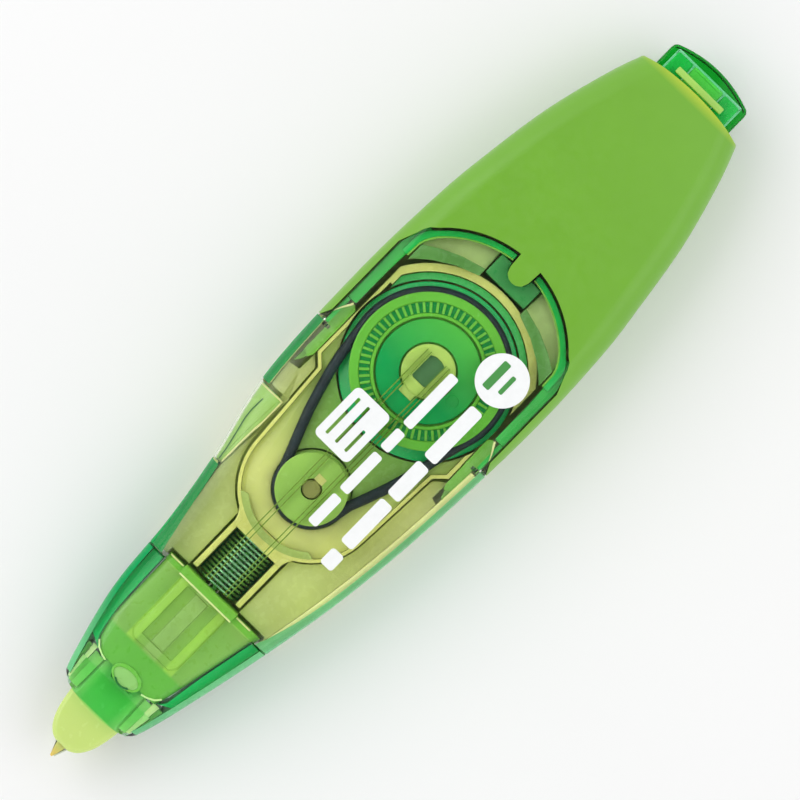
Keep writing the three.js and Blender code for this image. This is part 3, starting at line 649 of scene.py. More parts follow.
# painted light: pale plates standing for the bright view through the clear windows behind the reel
apron_olive = moulded("apron_olive", paint(212, 238, 164), 0.25, 0.2)
crescent_green = moulded("crescent_green", paint(98, 158, 84), 0.25, 0.1)
cage_green = moulded("cage_green", paint(60, 196, 136), 0.3, 0.1)
line_green = moulded("line_green", paint(24, 110, 52), 0.3)
rail_olive = moulded("rail_olive", paint(120, 156, 52), 0.25, 0.1)
rib_floor = moulded("rib_floor", paint(20, 160, 78), 0.25, 0.1)
pin_brown = moulded("pin_brown", paint(158, 160, 96), 0.3, 0.1)
liner_emerald = moulded("liner_emerald", paint(14, 196, 84), 0.25, 0.15)
cover_fade = along(129.6, BODY_END, paint(182, 206, 58))
cover_lime = moulded("cover_lime", paint(116, 177, 50), 0.33, 0.04, 0.02, gradient=cover_fade)
collar_yellow = moulded("collar_yellow", paint(166, 214, 98), 0.3, 0.2)
# painted light and shade: the bush's colours across its width are lighter where its clear walls are thin and light
# passes, darker where they are thick
housing_lime = [
    (0, paint(178, 192, 112)), (1.1, paint(178, 192, 112)), (1.4, paint(158, 182, 86)), (2.7, paint(160, 186, 84)),
    (3.1, paint(190, 212, 92)), (4.3, paint(192, 214, 94)), (4.6, paint(154, 186, 90)), (8.4, paint(170, 198, 104)),
]
bush_ends = [(20.4, 19.9, paint(124, 188, 72)), (31.6, 31.75, paint(130, 204, 72))]
bush_lime = bands("bush_lime", housing_lime, bush_ends)
# painted shading: the head's colours grow lighter and yellower towards its sides
head_across = [
    (0, paint(94, 194, 86)), (2.4, paint(98, 194, 86)), (3.4, paint(140, 206, 110)), (4.6, paint(164, 212, 124)),
]
head_lime = bands("head_lime", head_across, [(9.15, 8.9, paint(204, 226, 128))], 0.22, 0.3)
rim_dish = moulded("rim_dish", paint(132, 192, 72), 0.25, 0.15)
dimple_sage = moulded("dimple_sage", paint(184, 212, 132), 0.3, 0.1)
blade_yellow = moulded("blade_yellow", paint(216, 220, 124), 0.25, 0.3, gradient=along(1.8, 0, paint(236, 198, 96)))
tray_yellow = moulded("tray_yellow", paint(236, 236, 146), 0.25, 0.25)
rim_olive = moulded("rim_olive", paint(186, 208, 124), 0.25, 0.2)
wheel_lime = moulded("wheel_lime", paint(118, 208, 78), 0.22, 0.2)
disc_fade = along(SUPPLY[0] - 3, SUPPLY[0] + 7, paint(92, 206, 90))
disc_emerald = moulded("disc_emerald", paint(6, 178, 100), 0.2, 0.1, gradient=disc_fade)
hub_yellow = moulded("hub_yellow", paint(196, 226, 124), 0.22, 0.25)
slot_green = moulded("slot_green", paint(84, 140, 96), 0.4)
# painted light: the flange's green is raised brighter than the plastic, to offset the belt's shade over it
flange_green = moulded("flange_green", paint(40, 214, 130), 0.22, 0.15)
takeup_lime = moulded("takeup_lime", paint(170, 216, 112), 0.22, 0.25)
yoke_green = moulded("yoke_green", paint(62, 160, 90), 0.3, 0.05)
core_lime = moulded("core_lime", paint(156, 226, 98), 0.28, 0.2)
rotor_pale = moulded("rotor_pale", paint(205, 222, 140), 0.3, 0.2)
pale_strip = moulded("pale_strip", paint(250, 248, 176), 0.25, 0.3)
catch_lime = moulded("catch_lime", paint(134, 206, 84), 0.25, 0.2)
release_lime = moulded("release_lime", paint(172, 216, 122), 0.24, 0.3)
bead_emerald = moulded("bead_emerald", paint(34, 196, 92), 0.2, 0.1, 0.1, ior=1.3)
tape_white = ink("tape_white", paint(240, 240, 232))
film_pale = moulded("film_pale", paint(206, 214, 190), 0.2, 0.2)
roll_white = wound("roll_white", paint(244, 244, 238), paint(214, 216, 206), SUPPLY, 0.1)
used_film = wound("used_film", paint(196, 196, 150), paint(150, 150, 104), TAKEUP, 0.08)
belt_navy = rubber("belt_navy", paint(22, 40, 58))
wire_steel = steel("wire_steel", paint(140, 196, 160))
white_ink = ink("white_ink", paint(248, 250, 250))
green_ink = ink("green_ink", paint(70, 150, 70))


# ---- nose cap ----
def make_nose():
    shell = hull_body("nose_shell", NOSE_FRONT, NOSE_END, 16)
    front = arc(NOSE_FRONT + 23, 0, 23, math.radians(194), math.radians(166), 14)
    mouth = plate("mouth", [(10.5, -6.8), *front, (10.5, 7.15), (40, 20), (40, -20)], -2, 18)
    fit(shell, mouth, "INTERSECT")
    rows = []
    for s in spread(NOSE_FRONT - 1, 14.1, 5):
        left, right, depth = hull_at(s)
        rows.append((s, 0.9 - right, left - 0.9, MIDDLE - 3.55, MIDDLE + 3.55))
    front_room = loft("front_room", rows, 0.9, 4)
    rear_room = hull_body("rear_room", 13.9, NOSE_END + 1, 11, 0.9, 0.85)
    cut(shell, front_room, rear_room)
    for side, word, finish in ((1, "left", nose_skin_left), (-1, "right", skin_sage)):
        outline = side_line(side, 10.6, 33, 20, -2) + side_line(side, 10.6, 33, 20, NOSE_SKIN_ROOM)[::-1]
        cut(shell, plate("skin_slot", outline, -2, 18))
        outline = side_line(side, 10.68, NOSE_END, 20, -2) + side_line(side, 10.68, NOSE_END, 20, NOSE_SKIN)[::-1]
        skin = hull_body(f"nose_skin_{word}", 10.65, NOSE_END, 14)
        fit(skin, plate("skin_side", outline, -2, 18), "INTERSECT")
        finish_piece(clean(skin), "casing", finish, "clear_green")
    clean(shell)
    finish_piece(shell, "casing", nose_green, "clear_green", "nose_cap")
    # The thick walls each side of the bush, which start in a slanted step.
    inner_left = [(15.9, 5.7), (16.6, 6.5), (17.5, 6.95), (19, 7.35), (22, 7.85), (26, 8.05), (31.5, 8.2)]
    inner_right = [(15.9, -5.3), (16.4, -6.1), (17.2, -6.6), (19, -6.9), (23, -7.6), (27, -8.45), (31.5, -9.4)]
    for name, side, inner in (("nose_wall_left", 1, inner_left), ("nose_wall_right", -1, inner_right)):
        outer = side_line(side, 17.2, 31.5, 8, 1.05)
        wall = soften(plate(name, inner + outer[::-1], 3.6, 12.4), 0.2, 3, 50)
        finish_piece(wall, "casing", nose_emerald, "clear_green")


def oval(s, along_axis, across, count=40):
    turns = spread(0, 2 * math.pi, count)[:-1]
    return [(s + along_axis * math.cos(a), across * math.sin(a)) for a in turns]


def make_bush():
    rows = []
    for s in spread(15.7, 32.85, 10):
        left, right, depth = hull_at(s)
        open_to = 5.5 + (s - 15.7) * 1.0
        rows.append((s, -min(right - 2.6, open_to), min(left - 2.1, 7.85, open_to), 3.8, 12.2))
    body = loft("bush", rows, 1.0, 4)
    housing = loft("housing", [
        (20.2, -3.3, 3.3, 4.4, 11.6), (20.7, -3.8, 3.8, 3.5, 12.5),
        (21.6, -4.4, 4.4, 3.25, 12.75), (31.7, -4.4, 4.4, 3.25, 12.75),
    ], 0.5, 3)
    channel = block("channel", 21.8, 31.2, -2.9, 2.9, 12.4, 14, 0.2)
    land = block("land", 21.9, 31.1, -1.15, 1.15, 12.2, 12.62, 0.15)
    flange = block("flange", 31.7, 33.2, -5.1, 5.1, 2.6, 13.4, 0.25)
    lip = [block("lip", 31.55, 31.8, -5.0, 5.0, 12.9, 13.5, 0.08),
           block("lip", 32.6, 32.86, 5.2, 7.7, 11.9, 12.45, 0.08),
           block("lip", 32.6, 32.86, -7.9, -5.2, 11.9, 12.45, 0.08)]
    arms = [plate("arm", [(10.2, 5.75), (16, 5.95), (16, 6.75), (10.2, 6.05)], 5, 11.4),
            plate("arm", [(10.2, -5.15), (15.8, -5.25), (15.8, -6.35), (10.2, -5.65)], 5, 11.4)]
    for side, front in ((1, 5.2), (-1, 4.4)):
        corner = [(15.35, front - 1.2), (15.6, front - 0.3), (16.1, front + 0.7), (16.9, front + 1.4)]
        back = [(s + 0.22, y - 0.12) for s, y in reversed(corner)]
        lip.append(plate("lip", flip(corner + back, side), 11.9, 12.5))
    bore = block("bore", 14.6, 31.4, -5.1, 5.1, 4.5, 11.5)
    neck_slot = block("neck_slot", 31, 34.2, -1.5, 1.5, 5.2, 10.8)
    weld(body, housing)
    cut(body, channel)
    weld(body, land, flange)
    cut(body, bore, neck_slot)
    clean(body)
    finish_piece(body, "casing", bush_lime, "lime", "guide_bush")
    edge = gather(*lip, *arms)
    edge.name = edge.data.name = "bush_edge"
    finish_piece(edge, "casing", pale_strip, "lime")
    # Green guides fill the mouth beside the head.
    guides = [plate("mouth_guides", [(9.9, 4.8), (15.4, 4.8), (15.4, 5.85), (9.9, 5.7)], 5, 11.1),
              plate("guide", [(9.9, -4.8), (15.4, -4.8), (15.4, -5.15), (9.9, -5.1)], 5, 11.1)]
    over = [(9.9, 4.1), (15.3, 4.1), (15.3, 5.3), (9.9, 5.1)]
    lids = [plate("lid", flip(over, side), 11.3, 11.48) for side in (1, -1)]
    fills = [plate("fill", [(11, 6.2), (15.7, 6.8), (15.7, 7.55), (13.6, 7.0)], 5, 11),
             plate("fill", [(11, -5.8), (15.6, -6.42), (15.6, -7.15), (13.6, -6.6)], 5, 11)]
    finish_piece(gather(*guides, *lids, *fills), "casing", fill_green, "lime")
    # An oval dish over the head, with painted shade along its front edge.
    dish = plate("dish_rim", oval(15.75, 1.6, 2.55), 12.15, 12.5)
    cut(dish, plate("dish", oval(15.6, 1.15, 2.1), 11, 14))
    finish_piece(soften(dish, 0.1, 2), "casing", rim_dish, "lime")
    finish_piece(plate("dish_floor", oval(15.6, 1.18, 2.13), 12.1, 12.25), "casing", dimple_sage, "lime")
    # painted shade: a dark crescent at the dish's front, standing for the shade on its front wall
    front = arc(16.2, 0, 2.05, math.radians(222), math.radians(138), 12)
    front += arc(16.0, 0, 1.6, math.radians(138), math.radians(222), 12)
    finish_piece(plate("dish_front", front, 12.3, 12.56), "casing", line_green, "emerald")
    return body


# ---- window shell ----
RELEASE_FRONT, RELEASE_END = 47.0, 59.3
# Side skins let into the window shell: side, first and last station.
SKINS = ((1, 32.0, 46.6), (1, 59.75, 71.6), (-1, 32.0, 71.6))


def make_window():
    flush = hull_body("window_top", SHELL_FRONT, SLEEVE_END, 36)
    fit(flush, plate("opening", window_outline(WINDOW_FIT, 30), -2, 18), "INTERSECT")
    sleeve = hull_body("sleeve", COVER_FRONT - 1, SLEEVE_END, 16, 1.2, 1.1, 15.3)
    weld(flush, sleeve)
    front_room = hull_body("front_room", SHELL_FRONT - 1, 71, 20, 0.7, 1.7)
    catch_room = hull_body("catch_room", 70.5, 76.3, 4, 1.9, 1.7, 14.6)
    reel_room = loft("reel_room", hull_stations(71.6, SLEEVE_END + 1, 16, 0.9, 1.7, 15.2), 0.5, 3)
    pocket = block("pocket", RELEASE_FRONT - GAP, RELEASE_END + GAP, 10, 20, 4.5, 11.5)
    cut(flush, front_room, catch_room, reel_room, pocket)
    for side, s0, s1 in SKINS:
        near, far = s0 - GAP, s1 + GAP
        around = side_line(side, near, far, 14, -2) + side_line(side, near, far, 14, 1.7)[::-1]
        cut(flush, plate("skin_slot", around, 2.35, 13.65))
    take(flush)
    bpy.ops.object.duplicate()
    base = name_it("window_base")
    top_half = block("top_half", 30, 106, -20, 20, 8.15, 20)
    fit(flush, top_half, "INTERSECT")
    clean(flush)
    finish_piece(flush, "casing", window_olive, "clear_olive", "window_shell_upper")
    rails = [block("guide_rails", 33.9, 79, y - 0.08, y + 0.08, 13.9, 14.28, 0.03, 2) for y in (1.28, 1.95, -1.6, -2.2)]
    finish_piece(gather(*rails), "casing", rail_olive, "clear_olive")
    fit(base, block("base_half", 30, 106, -20, 20, -2, 7.85), "INTERSECT")
    clean(base)
    finish_piece(base, "casing", base_olive, "clear_olive", "window_shell_lower")


def window_line(inset, steps=20):
    """The window's edge from one side arm round the arc to the tongue, on the +Y side."""
    side, end = WINDOW_SIDE - inset, WINDOW_END - inset
    radius = WINDOW_RADIUS - inset
    centre = WINDOW_END - WINDOW_RADIUS
    corner = math.asin((WINDOW_SIDE - 1.4) / WINDOW_RADIUS)
    shoulder = centre + radius * math.cos(corner) - 1.6
    line = [(86.4, side + 0.3), (shoulder - 0.9, side + 0.2), (shoulder, side - 0.05), (shoulder + 0.9, side - 0.55)]
    return line + arc(centre, 0, radius, corner, math.asin(2.1 / radius), steps)


def make_window_bead():
    """The dark green line that follows the window's edge, just under the clear face, with a pale line inside it painted
    as a highlight.
    """
    for side, word in ((1, "left"), (-1, "right")):
        outer = flip(window_line(0.35), side)
        inner = flip(window_line(1.2), side)
        bead = soften(plate(f"window_bead_{word}", outer + inner[::-1], 13.75, 14.27), 0.12, 2, 50)
        finish_piece(bead, "casing", bead_emerald, "emerald")
        # painted highlight: the pale line inside the bead stands for light caught along the window's edge
        edge = flip(window_line(1.42), side)
        line = plate(f"window_line_{word}", inner + edge[::-1], 13.95, 14.25)
        finish_piece(line, "casing", catch_lime, "lime")
        front = [(86.2, 12.9), (88.3, 10.4), (90.1, 7.4), (91.4, 4.0)]
        back = [(92.7, 4.0), (91.7, 7.6), (90.4, 10.5), (88.9, 12.9)]
        rib = soften(plate(f"crescent_rib_{word}", flip(front + back, side), 13.8, 14.2), 0.1, 2, 50)
        finish_piece(rib, "casing", crescent_green, "clear_olive")
        wall = [
            (76.4, 13.65), (83, 13.62), (90.4, 13.3), (91.4, 12.9),
            (91.6, 13.6), (90.2, 14.9), (87, 15.15), (76.4, 15.15),
        ]
        wall = flip(wall, side)
        wall = soften(plate(f"sleeve_wall_{word}", wall, 2.4, 13.7), 0.2, 3, 50)
        finish_piece(wall, "casing", sleeve_green, "clear_green")
        corner = [(71.75, 14.45), (76.35, 14.45), (76.35, 15.12), (71.75, 15.12)]
        finish_piece(plate(f"arm_corner_{word}", flip(corner, side), 2.4, 13.6), "casing", sleeve_green, "clear_green")


def side_line(side, s0, s1, count, inset):
    rows = []
    for s in spread(s0, s1, count):
        left, right, depth = hull_at(s)
        rows.append((s, side * ((left if side > 0 else right) - inset)))
    return rows


def make_strips():
    def band(name, side, s0, s1, outer, inner, low, high):
        outline = side_line(side, s0, s1, 14, outer) + side_line(side, s0, s1, 14, inner)[::-1]
        return plate(name, outline, low, high)

    def skin(name, side, s0, s1, thick):
        """A side skin, flush with the hull."""
        piece = hull_body(name, s0, s1, 14)
        room = hull_body("room", s0 - 1, s1 + 1, 16, thick, 1.8)
        half = block("half", s0 - 1, s1 + 1, 5 if side > 0 else -20, 20 if side > 0 else -5, 2.4, 13.6)
        cut(fit(piece, half, "INTERSECT"), room)
        return clean(piece)

    def leaf(name, side):
        points = [(64.5, 14.3), (65.3, 13.75), (66.5, 13.35), (74, 13.3), (75.4, 13.5), (76, 13.9), (76, 14.3)]
        return soften(plate(name, flip(points, side), 5.5, 10.5), 0.12, 2)

    for word, place in (("left_front", SKINS[0]), ("left_rear", SKINS[1])):
        piece = skin(f"side_skin_{word}", *place, 0.95)
        finish_piece(piece, "casing", skin_emerald, "emerald", f"side_strip_{word}")
    finish_piece(skin("side_skin_right", *SKINS[2], 0.6), "casing", skin_sage, "emerald")
    right = soften(band("side_strip_right_piece", -1, 33.2, 70.7, 1.0, 2.05, 4.5, 13.3), 0.15)
    finish_piece(right, "casing", pale_strip, "yellow_lime", "side_strip_right")
    # painted highlights: the long pale lines along the +Y side stand for light caught on the side wall's inner face
    lines = [band("pale_lines", 1, 32.4, 46.4, 1.35, 1.6, 11, 12.4), band("line", 1, 60, 72, 1.35, 1.7, 11, 12.4)]
    for side in (1, -1):
        hook = [(73.5, 15.1), (73.8, 15.12), (76.3, 13.95), (76.0, 13.75)]
        lines.append(plate("line", flip(hook, side), 13.75, 13.95))
    finish_piece(gather(*lines), "casing", pale_strip, "yellow_lime")
    for name, side in (("leaf_catch_left", 1), ("leaf_catch_right", -1)):
        finish_piece(leaf(name, side), "casing", catch_lime, "lime")
    # Decks beside the cartridge, shaped round it and round the release. They are pale sheets of painted light, standing
    # for the bright view through the clear shells where the object's own shade would darken it.
    for side, word in ((1, "left"), (-1, "right")):
        turn = math.asin(5.05 / 10.85)
        corner = 8.1 if side > 0 else 9.8
        inner = [(32.3, corner), (33.4, corner), (33.4, 4.95)]
        inner += arc(TAKEUP[0], 0, 10.85, math.pi - turn, math.pi * 0.53, 14) + [(65.9, 11.6), (67.3, 13.05)]
        outer = [(s, abs(y)) for s, y in side_line(side, 32.3, 63.9, 10, 1.75 if side > 0 else 2.1)]
        if side > 0:
            notch = [(46.4, 11.2), (59.9, 11.2), (59.9, 14.1)]
            outer = [p for p in outer if p[0] < 46] + notch + [p for p in outer if p[0] > 60]
        rim = inner + [(64.2, 13.05)] + outer[::-1]
        deck = soften(plate(f"side_deck_{word}", flip(rim, side), 9.2, 9.9), 0.1, 2, 50)
        open_mesh(deck)
        select_whole()
        bpy.ops.mesh.quads_convert_to_tris()
        close_mesh()
        finish_piece(deck, "casing", deck_olive, "clear_olive")
    # Catch pads close under the window, over the leaves.
    pad = [(66.2, 13.4), (67, 13.05), (75.6, 13.05), (76.2, 13.6), (75.2, 14.35), (66.8, 14.35)]
    pads = [plate(name, flip(pad, side), 11.2, 12.2) for name, side in (("catch_pads", 1), ("pad", -1))]
    finish_piece(gather(*pads), "casing", catch_lime, "lime")


def make_spring():
    low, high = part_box("return_spring")
    wire, radius, turns = 0.24, 3.2, 13
    clear_selection()
    start = Vector((low.x + wire * MM, 0, MIDDLE * MM))
    bpy.ops.mesh.primitive_circle_add(
        vertices=10, radius=wire * MM, location=start + Vector((0, radius * MM, 0)), rotation=(0, 0, 0)
    )
    settle()
    piece = name_it("return_coil")
    bpy.context.scene.cursor.location = start
    bpy.ops.object.origin_set(type="ORIGIN_CURSOR")
    screw = piece.modifiers.new("Coil", "SCREW")
    screw.axis = "X"
    screw.angle = 2 * math.pi
    screw.iterations = turns
    screw.steps = screw.render_steps = 28
    screw.screw_offset = (high.x - low.x - 2 * wire * MM) / turns
    screw.use_merge_vertices = False
    bpy.ops.object.modifier_apply(modifier=screw.name)
    settle()
    open_mesh(piece)
    bpy.ops.mesh.select_all(action="DESELECT")
    bpy.ops.mesh.select_non_manifold()
    bpy.ops.mesh.edge_face_add()
    tidy_faces()
    close_mesh()
    finish_piece(piece, None, wire_steel, "spring_steel", "return_spring", angle=60)
    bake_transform(piece)
    return piece


def make_release():
    body = hull_body("release_slider", RELEASE_FRONT - 1, RELEASE_END + 1, 12)
    fit(body, block("room", RELEASE_FRONT, RELEASE_END, 12, 20, 4.8, 11.2), "INTERSECT")
    clean(body)
    soften(body, 0.22)
    finish_piece(body, "release", release_lime, "lime", "release_button")
    # Its spring leaf reaches in under the window, with a dark moulded line and a pale edge.
    leaf = [(47.1, 11.5), (59.2, 11.5), (59.2, 12.5), (47.1, 12.5)]
    finish_piece(soften(plate("release_leaf", leaf, 10, 11.1), 0.12, 2), "release", release_lime, "lime")
    rise = [(47.2, 12.15), (49, 12.4), (51.5, 12.95), (54, 13.55), (55.5, 13.68), (57.6, 13.62)]
    line = plate("release_line", rise + [(s, y - 0.16) for s, y in reversed(rise)], 11.15, 11.3)
    finish_piece(line, "release", line_green, "dark_green")
    edge = [(58.95, 11.45), (59.2, 11.45), (59.2, 15.4), (58.95, 15.35)]
    low_edge = [(47.1, 11.4), (59.2, 11.4), (59.2, 11.62), (47.1, 11.62)]
    pale = gather(plate("release_edges", edge, 11.15, 11.3), plate("edge", low_edge, 11.12, 11.28))
    return finish_piece(pale, "release", pale_strip, "yellow_lime")


# ---- rear cover ----
def make_cover():
    shell = hull_body("rear_shell", COVER_FRONT, BODY_END, 34)
    end = [(60, -20), (129.2, -20), (129.2, -9.9), (129.8, -9.6), (130.2, -9.1)]
    end += arc(BODY_END - 40, 0, 40, -math.asin(8.6 / 40), math.asin(8.6 / 40), 12)
    end += [(130.2, 9.1), (129.8, 9.6), (129.2, 9.9), (129.2, 20), (60, 20)]
    fit(shell, plate("round_end", end, -2, 18), "INTERSECT")
    room = hull_body("room", COVER_FRONT - 2, 129.9, 30, 0.9, 0.8)
    hole = block("button_hole", 128, 133, -7.5, 7.5, 2.7, 13.3)
    cut(shell, room, plate("opening", window_outline(0, 30), -2, 18), hole)
    clean(shell)
    return finish_piece(shell, "cover", cover_lime, "cover_lime", "rear_cover")


def make_collar():
    for name, low in (("button_lip_upper", 13.3), ("button_lip_lower", 2.1)):
        lip = block(f"{name}_piece", 131.5, 132.5, -4.4, 4.4, low, low + 0.6, 0.2)
        finish_piece(lip, "cover", collar_yellow, "lime", name)


def lying_tube(name, s0, s1, outer, inner, steps=64):
    """A tube lying along the length, spun from its wall's section."""
    section = [(s0, inner), (s1, inner), (s1, outer), (s0, outer), (s0, inner)]
    piece = draw(name, [at(s, 0, MIDDLE + r) for s, r in section])
    select_whole()
    bpy.ops.mesh.remove_doubles(threshold=1e-6)
    bpy.ops.mesh.spin(steps=steps, angle=2 * math.pi, center=at(s0, 0, MIDDLE), axis=(1, 0, 0))
    tidy_faces()
    close_mesh()
    return piece


def make_cam_parts():
    guide = lying_tube("cam_tube", 106, 119.5, 5.6, 4.6)
    wings = [block("wing", 109, 111, low, low + 7.4, 6.5, 9.5, 0.15) for low in (5.1, -12.5)]
    weld(guide, *wings)
    soften(clean(guide), 0.12, 2)
    finish_piece(guide, "cover", core_lime, "lime", "cam_sleeve")
    rotor = lying_tube("index_rotor", 108, 113, 3.2, 2.3)
    fins = []
    for wide, deep in ((4.2, 0.5), (0.5, 4.2)):
        fin = block("fin", 108, 113, -wide, wide, MIDDLE - deep, MIDDLE + deep)
        fins.append(fin)
    weld(rotor, *fins)
    cut(rotor, block("shaft_room", 107, 114, -1.62, 1.62, MIDDLE - 1.62, MIDDLE + 1.62))
    cut(rotor, lying_tube("bore", 107, 114, 2.3, 1.4))
    soften(clean(rotor), 0.12, 2)
    finish_piece(rotor, "rotor", rotor_pale, "pale_lime", "cam_rotor")


# ---- knock mechanism ----
def make_knock():
    corner = 134.6
    top = [(corner - 0.9, 7.2), (corner - 0.3, 7.1), (corner + 0.1, 6.75)]
    curve = []
    for i in range(1, 24):
        t = i / 24
        s = (1 - t) ** 2 * (corner + 0.1) + 2 * t * (1 - t) * 137.35 + t * t * (corner + 0.1)
        y = (1 - 2 * t) * 6.75
        curve.append((s, y))
    outline = [(121, -7.2), *[(s, -y) for s, y in top], *[(s, -y) for s, y in curve], *reversed(top), (121, 7.2)]
    cap = plate("knock_cap", outline, 3, 13)
    soften(cap, 0.45, 4, 50)
    cut(cap, block("hollow", 120, 134.5, -6.2, 6.2, 4, 12, 0.3))
    clean(cap)
    finish_piece(cap, "knock", button_emerald, "emerald", "knock_button")
    liners = [block("knock_liner", 122, 134.2, y0, y1, 4.3, 11.7, 0.3) for y0, y1 in ((3.1, 5.9), (-5.9, -3.1))]
    finish_piece(gather(*liners), "knock", liner_emerald, "emerald")
    core = block("knock_core_piece", 124.8, 134.3, -2.8, 2.8, 5.2, 11.2, 0.3)
    cut(core, block("groove", 133.7, 133.9, -2.4, 2.4, 11, 11.4, 0.02))
    finish_piece(core, "knock", core_lime, "lime", "knock_core")
    yoke = [
        (92.45, -3.8), (96, -3.8), (96, -1.9), (94.9, -1.65), (94.35, -1.0), (94.2, 0),
        (94.35, 1.0), (94.9, 1.65), (96, 1.9), (96, 3.8), (92.45, 3.8),
    ]
    fork = soften(plate("push_yoke", yoke, 4.7, 13.6), 0.2)
    bar = lying_tube("bar", 93.6, 124.5, 2.0, 0.01, 32)
    bar = soften(bar, 0.1, 2)
    weld(fork, bar)
    clean(fork)
    finish_piece(fork, "knock", yoke_green, "dark_green", "push_rod")
    # The pusher's plates fill the room behind the cartridge; their pale colour is painted light, standing for the
    # bright view through the clear windows there.
    s, y = SUPPLY
    back = arc(s, 0, 20, math.radians(40), math.radians(12), 10)
    for side, word in ((1, "left"), (-1, "right")):
        front = arc(s, 0, 15.95, math.radians(14.5), math.radians(54), 14)
        rim = flip(front + back, side)
        apron = soften(plate(f"push_apron_{word}", rim, 10.6, 11.5), 0.12, 2)
        finish_piece(apron, "knock", apron_olive, "dark_green")


# ---- cartridge ----
def tray_outline(inset, steps=24):
    s, y = SUPPLY
    big, small, flank, jog = 15.4 - 1.3 * inset, 10.5 - inset, 12.9 - inset, 0.42 * inset
    points = arc(s, y, big, -math.asin((flank + y) / big), math.asin((flank - y) / big), steps)
    points += [(67.8 + jog, flank), (66.2 + jog, 11.3 - inset)]
    points += arc(TAKEUP[0], TAKEUP[1], small, math.pi * 0.53, math.pi * 1.47, steps)
    points += [(66.2 + jog, inset - 11.3), (67.8 + jog, -flank)]
    return points


def make_tray():
    floor = plate("tray", tray_outline(0), 3.6, 4.7)
    rim = plate("rim", tray_outline(0), 3.6, 12.2)
    cut(rim, plate("inside", tray_outline(0.5), 2, 13), drill(SUPPLY, REEL_HOLE, 4.7, 14))
    rear = plate("rear_rim", tray_outline(0), 3.6, 12.2)
    cut(rear, plate("inside", tray_outline(0.9), 2, 13), block("front", 30, 82, -20, 20, 2, 14))
    weld(rim, rear)
    soften(rim, 0.12, 2)
    cage_floor = block("cage_floor", 33.9, 44.2, -4.6, 4.6, 3.45, 4.2)
    walls = [block("cage_wall", 33.9, 43.8, y0, y1, 3.8, 11.6, 0.15) for y0, y1 in ((3.75, 4.6), (-4.6, -3.75))]
    shoulder = block("shoulder", 43.2, 44.4, -4.6, 4.6, 3.8, 11.6, 0.15)
    mouth = block("mouth", 42.2, 46.2, -2.2, 2.2, 5.3, 10.7, 0.2)
    weld(floor, rim, cage_floor, shoulder)
    cut(floor, mouth)
    posts = [
        turned("post", SUPPLY, [(0.01, 4.1), (1.9, 4.1), (1.9, 12.1), (1.7, 12.3), (0.01, 12.3)], 40),
        turned("post", TAKEUP, [(0.01, 4.1), (1.2, 4.1), (1.2, 12.8), (1.0, 13), (0.01, 13)], 32),
        turned("post", (47.3, 5), [(0.01, 4.1), (0.8, 4.1), (0.8, 9.7), (0.6, 9.9), (0.01, 9.9)], 24),
    ]
    brow = block("brow", 42.0, 44.3, -4.6, 4.6, 11.55, 11.95)
    weld(floor, *walls, *posts, brow)
    clean(floor)
    finish_piece(floor, "cartridge", tray_yellow, "yellow_lime", "cartridge_tray")
    liner = block("cage_liner", 34, 42.9, -3.65, 3.65, 4.25, 4.55, 0.08)
    finish_piece(liner, "cartridge", cage_green, "dark_green")
    # The front of the rim is a wide darker band with a pale fillet outside it. The darker band is partly the rim's own
    # olive and partly painted shade, standing for the shadow just inside the rim.
    s, y = TAKEUP
    turn = math.radians(46)
    front = arc(s, y, 10.3, math.pi - turn, math.pi + turn, 20)
    front += arc(s, y, 8.95, math.pi + turn * 0.9, math.pi - turn * 0.9, 20)
    band = soften(plate("front_band", front, 11.3, 12.1), 0.1, 2, 50)
    finish_piece(band, "cartridge", rim_olive, "yellow_lime")
    for side, word in ((1, "left"), (-1, "right")):
        fillet = [
            (42.1, 4.45), (43.4, 4.9), (45.0, 6.0), (45.95, 7.2), (46.3, 7.25), (45.2, 5.6), (44.3, 3.9), (42.1, 3.9),
        ]
        fillet = soften(plate(f"front_fillet_{word}", flip(fillet, side), 11.2, 12.0), 0.1, 2, 50)
        finish_piece(fillet, "cartridge", tray_yellow, "yellow_lime")


def make_lid():
    """The cartridge's lid over the tape, under the belt, open round both reels."""
    lid = plate("cartridge_lid_piece", tray_outline(0.55), 10.2, 10.95)
    cut(lid, drill(SUPPLY, REEL_HOLE, 9, 12),
        drill(TAKEUP, TAKEUP_HOLE, 9, 12, 64),
        block("neck_room", 30, 44.5, -20, 20, 9, 12), block("rear_room", 76.7, 99, -20, 20, 9, 12))
    soften(clean(lid), 0.12, 2)
    finish_piece(lid, "cartridge", lid_lime, "yellow_lime", "cartridge_lid")
    # Inside the belt's loop the lid is a green well.
    well = plate("lid_well", [(a, b) for a, b, _ in belt_route(0.2)], 10.9, 11.05)
    cut(well, drill(SUPPLY, REEL_HOLE, 9, 12),
        drill(TAKEUP, TAKEUP_HOLE, 9, 12, 64))
    finish_piece(clean(well), "cartridge", well_lime, "lime")
    rear = plate("lid_rear_band", tray_outline(1.0), 10.2, 10.95)
    cut(rear, drill(SUPPLY, REEL_HOLE, 9, 12), block("front", 30, 77.2, -20, 20, 9, 12))
    return finish_piece(soften(clean(rear), 0.12, 2), "cartridge", rear_sage, "yellow_lime")


